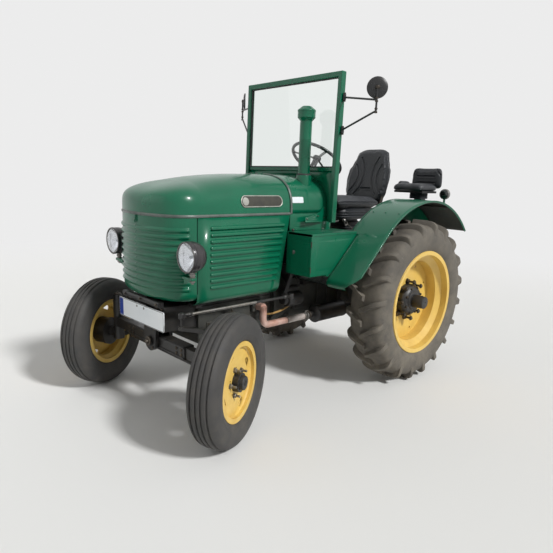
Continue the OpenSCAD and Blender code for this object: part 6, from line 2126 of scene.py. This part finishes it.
def makeFrontEnd():
    # bolts, plates and caps of the front support and the axle beam
    parts = []
    parts.append(boltsOn("supportBolts", [at(x, -1836, 701) for x in (-200, -150, 150, 200)], ahead, 8))
    parts.append(boltsOn("earBolts", [at(x, -1801.2, z) for x, z in ((-52, 540), (52, 540), (-30, 420),
                                                                     (30, 420))], ahead, 8))
    parts.append(lathePiece("pivotCap", [(0, 30), (6, 30), (9, 26), (9, 14), (20, 12), (22, 9), (22, 0.01)],
                            at(0, -1812, 455), ahead, darkSteel, around=32))
    bar = [at(x, -1858 + 4 * cos(pi * x / 460), 727) for x in range(-214, 215, 30)]
    strip = [[p + Vector((0, dy * mm, dz * mm)) for dy, dz in ((-3, -12), (-5, -9), (-5, 9), (-3, 12),
                                                               (4, 14), (4, -14))] for p in bar]
    parts.append(gridPiece("bumperBar", strip, blackEnamel, smooth=40, closeColumns=True, caps=True))
    for x in (-180, 0, 180):
        parts.append(boltsOn("barBolt", [at(x, -1864, 727)], ahead, 8))
    # beam: raised edges and the pads of the axle ends
    for z in (424, 486):
        for side in (1, -1):
            x0, x1 = side * 60, side * 326
            parts.append(boxPiece("beamEdge", (x0, -1779, z - 5), (x1, -1771, z + 5), blackEnamel, bevel=2))
            parts.append(boxPiece("beamEdge", (x0, -1709, z - 5), (x1, -1701, z + 5), blackEnamel, bevel=2))
    for side in (1, -1):
        places = [at(side * x, -1773.2, z) for x in (300, 250) for z in (440, 470)]
        parts.append(boltsOn("beamBolts", places, ahead, 9))
        for z in (418, 596):
            ring = [(-3, 32.2), (-1.5, 34), (1.5, 34), (3, 32.2)]
            parts.append(lathePiece("bossBead", ring, at(side * 526, -1740, z), upward, blackEnamel,
                                    around=40))
    whole = joinPieces("frontEndFittings", parts)
    for side, tag in sides:
        body = "knuckle_" + tag.lower()
        top = lathePiece("kingpinCap" + tag, [(640.3, 0.01), (640.3, 22), (646, 23), (650, 18), (652, 8),
                                              (660, 6), (662, 0.01)], at(side * 526, -1740, 0), upward,
                         darkSteel, body, around=28)
    low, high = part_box("tie_rod")
    boots = []
    for side in (1, -1):
        x, y = (high.x if side > 0 else low.x), (low.y + high.y) / 2
        centre = Vector((x - side * 17 * mm, y, low.z + 17 * mm))
        boot = [(8, 0.01), (8, 20), (11, 22), (14, 18), (17, 20), (20, 16), (23, 17), (26, 12), (26, 8)]
        boots.append(lathePiece("boot", boot, centre, upward, frontRubber, "tie_rod", around=28))
        boots.append(lathePiece("endNut", [(-19, 0.01), (-19, 11), (-17, 12.5), (-8, 12.5), (-6, 14)],
                                centre, upward, darkSteel, "tie_rod", around=6, smooth=20))
        neck = [centre - Vector((side * d * mm, 0, 0)) for d in (14, 60, 62, 84, 86, 90)]
        boots.append(tubePiece("rodNeck", neck, [13.6, 13.6, 16, 16, 14, 13.2], darkSteel, "tie_rod",
                               around=6))
    whole = joinPieces("tieRodEnds", boots, body="tie_rod")


def makeRearEnd():
    # bolted covers of the gearbox and axle, power take-off shield and splines
    parts = []
    parts.append(boxPiece("rearCover", (-150, 198, 530), (150, 208, 800), castIron, bevel=8, segments=3))
    parts.append(boltsOn("coverBolts", [at(x, 208, z) for x in (-135, -45, 45, 135) for z in (546, 784)] +
                         [at(x, 208, z) for x in (-135, 135) for z in (625, 705)], rearward, 9))
    ring = [(259, 60), (262, 62), (264, 94), (258, 96), (240, 96)]
    parts.append(lathePiece("ptoRing", ring, at(0, 0, 620), rearward, castIron, around=48))
    places = [at(78 * cos(a), 261, 620 + 78 * sin(a)) for a in (t + 0.5 for t in turns(6))]
    parts.append(boltsOn("ptoBolts", places, rearward, 7))
    for a in turns(6):
        spline = [at(17.4 * cos(a), y, 620 + 17.4 * sin(a)) for y in (262, 264, 326, 328)]
        parts.append(tubePiece("spline", spline, [0.5, 2.4, 2.4, 0.5], brightSteel, around=8))
    for side in (1, -1):
        for x, r in ((232, 104), (566, 112)):
            flange = [(-8, r - 24), (-8, r - 2), (-6, r), (6, r), (8, r - 2), (8, r - 24)]
            parts.append(lathePiece("axleFlange", flange, at(side * x, 0, 596), Vector((side, 0, 0)),
                                    castIron, around=56))
            places = [at(side * (x + 8), (r - 13) * cos(a), 596 + (r - 13) * sin(a))
                      for a in (t + 0.3 for t in turns(8))]
            parts.append(boltsOn("axleBolts", places, Vector((side, 0, 0)), 8))
        for k in range(4):
            a = radians(45 + 90 * k)
            rib = [at(side * x, r * cos(a), 596 + r * sin(a))
                   for x, r in ((240, 99), (300, 92), (420, 82), (540, 72))]
            parts.append(tubePiece("trumpetRib", rib, 5, castIron, around=8))
        # gearbox side: cover and ribs
        x = side * 150
        x0, x1 = x - side, x + side * 8
        parts.append(boxPiece("boxCover", (x0, -700, 520), (x1, -480, 700), castIron, bevel=6, segments=3))
        parts.append(boltsOn("boxBolts", [at(x + side * 8, y, z) for y in (-686, -590, -494)
                                          for z in (534, 686)], Vector((side, 0, 0)), 7.5))
        parts.append(boxPiece("boxRib", (x0, -450, 440), (x1, -436, 780), castIron, bevel=3))
        parts.append(boxPiece("boxRib", (x0, -340, 440), (x1, -326, 780), castIron, bevel=3))
    whole = joinPieces("rearFittings", parts)


lampRear = dict(x=700.0, y=320.0, z=1372.0, r=38.0, stalkR=8.0)


def makeRearLamps():
    p = lampRear
    for side, tag in sides:
        centre = at(side * p["x"], p["y"], p["z"])
        shell = [(-13, 33), (-14, 36.5), (-10, 38), (2, 38), (8, 37.2), (10, 38), (13, 37), (14, 33)]
        parts = [lathePiece("shell", shell, centre, rearward, brightSteel, around=48),
                 lathePiece("frontGlass", [(-12, 34), (-16, 31), (-19, 20), (-20, 0.01)], centre, rearward,
                            darkGlass, around=48, smooth=50),
                 lathePiece("redLens", [(12, 34), (16, 31), (19, 20), (20, 0.01)], centre, rearward,
                            redGlass, around=48, smooth=50)]
        for q in (10, 20, 28):
            ring = [centre + Vector((q * cos(a), 19.6 - (q / 34) ** 2 * 5, q * sin(a))) * mm
                    for a in turns(40)]
            parts.append(loopPiece("lensRing", ring, 0.9, redGlass, around=6))
        # green stalk on the fender
        foot = sqrt((fender["r"] + fender["sheet"]) ** 2 - p["y"] ** 2) + fender["axleZ"] + 1.5
        x, y = side * p["x"], p["y"]
        stalk = smoothPath([at(x, y, foot), at(x, y, foot + 20), at(x, y, p["z"] - 34)], 5)
        parts.append(tubePiece("stalk", stalk, p["stalkR"], greenEnamel, around=16))
        parts.append(boxPiece("stalkFoot", (x - 22, y - 24, foot - 1), (x + 22, y + 24, foot + 5),
                              greenEnamel, bevel=2))
        whole = joinPieces("fenderLamp" + tag, parts)
        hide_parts("rear_lamps")


sideStand = dict(x=558.0, y=190.0, halfX=52.0, halfY=56.0, lowZ=1334.0, rise=41.0, pleat=2.5)


def makeSideSeatStand():
    # pedestal cover under the small seat, with pressed pleats
    p = sideStand
    rings = []
    for k in range(17):
        z = p["lowZ"] + p["rise"] * k / 16
        out = p["pleat"] * cos(pi * k / 2)
        rings.append(roundedRing(p["x"], p["y"], z, p["halfX"] + out, p["halfY"] + out, 0.35, 40))
    cover = gridPiece("sideSeatSkirt", rings, seatVinyl, smooth=50, closeColumns=True, caps=True)


pedal = dict(places=(-260, 210, 300), ribs=6, frontY=-634.0, pitch=10.5, lean=35.0)


def makeLevers():
    # gear lever boot and knob, hand lever grip, pedal pads
    parts = []
    boot = [(803, 44), (806, 46), (812, 40), (818, 42), (824, 34), (830, 36), (838, 26), (846, 27),
            (856, 16), (862, 12), (866, 9)]
    parts.append(lathePiece("leverBoot", boot, at(41, -331, 0), upward, frontRubber, around=36))
    boot = [(804, 30), (806, 32), (812, 26), (818, 28), (826, 20), (832, 21), (840, 12), (846, 9)]
    parts.append(lathePiece("leverBoot", boot, at(-61, -427, 0), upward, frontRubber, around=32))
    grip = [at(-60 - 30 * t, -430 + 100 * t, 803 + 277 * t) for t in (0.68, 0.72, 0.95, 1.0, 1.01)]
    parts.append(tubePiece("leverGrip", grip, [9, 13, 14, 12, 5], handBlack, around=20))
    knob = [(-24, 8), (-22, 12), (-10, 22), (0, 25), (12, 22), (21, 13), (24, 0.01)]
    parts.append(lathePiece("leverKnob", knob, at(95, -300, 1170), Vector((0.2, 0.1, 1)), handBlack,
                            around=32))
    for x in pedal["places"]:
        for k in range(pedal["ribs"]):
            y = pedal["frontY"] + pedal["pitch"] * k
            parts.append(tubePiece("padRib", [at(x - 29, y, floorPad(y)), at(x + 29, y, floorPad(y))], 2.6,
                                   frontRubber, around=8))
    whole = joinPieces("leverFittings", parts)


def floorPad(y):
    # height of the upper face of a pedal's leaning pad
    lean = radians(pedal["lean"])
    return 885 + 8 / cos(lean) - (y + 640) * tan(lean) + 0.5


pattern = dict(x=176.0, y=-722.0, z=765.0, across=40.0, along=38.0, columns=8, rows=13)


def makeFloorPattern():
    # raised lozenges on the floor plates, made by the tree of copies on points
    p = pattern
    for side, tag in sides:
        places = []
        for i in range(p["columns"]):
            for j in range(p["rows"]):
                x = p["x"] + p["across"] * (i + (0.5 if j % 2 else 0))
                places.append(at(side * x, p["y"] + p["along"] * j, p["z"]))
        rise = spotPieces("floorPattern" + tag, places, upward, 11, blackEnamel, item=lozengeMesh())


def lozengeMesh():
    points = [(1.2, 0, 0), (0, 0.42, 0), (-1.2, 0, 0), (0, -0.42, 0), (0.7, 0, 0.16), (0, 0.2, 0.16),
              (-0.7, 0, 0.16), (0, -0.2, 0.16)]
    faces = [(0, 1, 5, 4), (1, 2, 6, 5), (2, 3, 7, 6), (3, 0, 4, 7), (4, 5, 6, 7)]
    return bareMesh("lozenge", [Vector(p) for p in points], faces)


makeLid()
makeNose()
makeSidePanels()
makeTrim()
print("bonnet, nose and side panels")
makeFrontTyres()
makeRearTyres()
makeHubs()
print("wheels")
makeCowl()
makeBadge()
makeScreen()
makeMirrors()
makeStack()
print("cowl, windscreen, mirrors and stack")
makeFenders()
makeToolbox()
makeHeadlamps()
makePlate()
makeNoseLatch()
print("fenders, tool box, lamps and plate")
makeSeatBase()
makeCushion()
makeBack()
makeSideSeat()
print("seats")
makeExhaust()
makeDragLink()
makeHandWheel()
makeEngine()
makeFrontEnd()
makeRearEnd()
makeRearLamps()
makeSideSeatStand()
makeLevers()
makeFloorPattern()
print("running gear, engine fittings and levers")


# Finishes of the CAD nodes that stay

nodeFinish = {greenEnamel: ["nose_shell", "side_panels", "bonnet_lid", "cowl", "windscreen_frame",
                            "intake_stack", "toolbox", "toolbox_door", "fenders"],
              yellowEnamel: ["front_rim_left", "front_rim_right", "rear_rim_left", "rear_rim_right"],
              blackEnamel: ["front_support", "front_axle", "floor_plates", "seat_base", "side_seat_frame",
                            "headlamp_shells", "steering_column", "steering_wheel", "drop_arm", "tie_rod",
                            "knuckle_left", "knuckle_right", "mirrors", "front_hub_left", "front_hub_right",
                            "rear_hub_left", "rear_hub_right"],
              castIron: ["engine_block", "transmission", "hitch"],
              frontRubber: ["front_tyre_left", "front_tyre_right"],
              rearRubber: ["rear_tyre_left", "rear_tyre_right"],
              seatVinyl: ["seat_cushion", "seat_back", "side_seat_pads"], clearGlass: ["windscreen_glass"],
              lampGlass: ["headlamp_lenses"], redGlass: ["rear_lamps"], plateWhite: ["number_plate"],
              hotPipe: ["exhaust"], brightSteel: ["drag_link", "controls"],}
for material, names in nodeFinish.items():
    for name in names:
        slots = nodes[name].material_slots
        if not slots:
            nodes[name].data.materials.append(material)
        for slot in nodes[name].material_slots:
            slot.material = material
print("materials on the CAD nodes")


# Stage: pale bowl-shaped floor, sky and lamps

stage = dict(radius=9.0, bend=9.0, floor=srgb(226, 226, 224), sky=0.38, shownSky=0.84, fadeFrom=3.5,
             fadeTo=8.5)


def shownRays(tree):
    # rays that show the background: from the camera, off metal and through glass
    rays = tree.nodes.new("ShaderNodeLightPath")
    first = mathNode(tree, "MAXIMUM", rays.outputs["Is Camera Ray"], rays.outputs["Is Transmission Ray"])
    return mathNode(tree, "MAXIMUM", first, rays.outputs["Is Glossy Ray"])


def makeFloor():
    mesh = bpy.data.meshes.new("floor")
    work = bmesh.new()
    rings = [(stage["radius"] * k / 6, 0.0) for k in range(1, 7)]
    rings += [(stage["radius"] + stage["bend"] * sin(a), stage["bend"] * (1 - cos(a)))
              for a in (radians(8 * k) for k in range(1, 12))]
    around = 72
    centre = work.verts.new((0, 0, 0))
    last = None
    for r, z in rings:
        ring = [work.verts.new((r * cos(a), r * sin(a), z)) for a in turns(around)]
        for k in range(around):
            if last:
                work.faces.new((last[k], ring[k], ring[(k + 1) % around], last[(k + 1) % around]))
            else:
                work.faces.new((centre, ring[k], ring[(k + 1) % around]))
        last = ring
    work.to_mesh(mesh)
    for face in mesh.polygons:
        face.use_smooth = True
    floor = linked("floor", mesh)
    material = bpy.data.materials.new("floorPaint")
    material.use_nodes = True
    tree = material.node_tree
    shader = tree.nodes["Principled BSDF"]
    feed(tree, shader, {"Base Color": stage["floor"], "Roughness": 0.9})
    # away from the tractor the floor runs into an even backdrop
    place = tree.nodes.new("ShaderNodeTexCoord")
    away = tree.nodes.new("ShaderNodeVectorMath")
    away.operation = "LENGTH"
    feed(tree, away, {0: place.outputs["Object"]})
    fade = tree.nodes.new("ShaderNodeMapRange")
    fade.interpolation_type = "SMOOTHSTEP"
    feed(tree, fade, {"Value": away.outputs["Value"], "From Min": stage["fadeFrom"],
                      "From Max": stage["fadeTo"]})
    backdrop = tree.nodes.new("ShaderNodeEmission")
    feed(tree, backdrop, {"Color": (1, 1, 1), "Strength": stage["shownSky"]})
    mix = tree.nodes.new("ShaderNodeMixShader")
    feed(tree, mix, {"Fac": mathNode(tree, "MULTIPLY", fade.outputs["Result"], shownRays(tree)),
                     1: shader.outputs["BSDF"], 2: backdrop.outputs["Emission"]})
    feed(tree, tree.nodes["Material Output"], {"Surface": mix.outputs["Shader"]})
    mesh.materials.append(material)


def makeLight(name, kind, place, aim, energy, size):
    data = bpy.data.lights.new(name, kind)
    data.energy = energy
    if kind == "AREA":
        data.size = size
    else:
        data.angle = radians(size)
    light = linked(name, data)
    light.location = place
    light.rotation_euler = (Vector(aim) - Vector(place)).to_track_quat("-Z", "Y").to_euler()


def makeSky():
    world = bpy.data.worlds.new("sky")
    bpy.context.scene.world = world
    world.use_nodes = True
    tree = world.node_tree
    background = tree.nodes["Background"]
    strength = mathNode(tree, "MULTIPLY_ADD", shownRays(tree), stage["shownSky"] - stage["sky"],
                        stage["sky"])
    feed(tree, background, {"Color": (1, 1, 1), "Strength": strength})


makeFloor()
makeSky()
makeLight("sunLamp", "SUN", (5.0, 0.8, 5.0), (0, 0, 0.7), 2.9, 8)
makeLight("frontFill", "AREA", (-3.5, -6.0, 3.5), (0, 0, 0.8), 16, 4.0)
bpy.context.scene.view_settings.view_transform = "Standard"
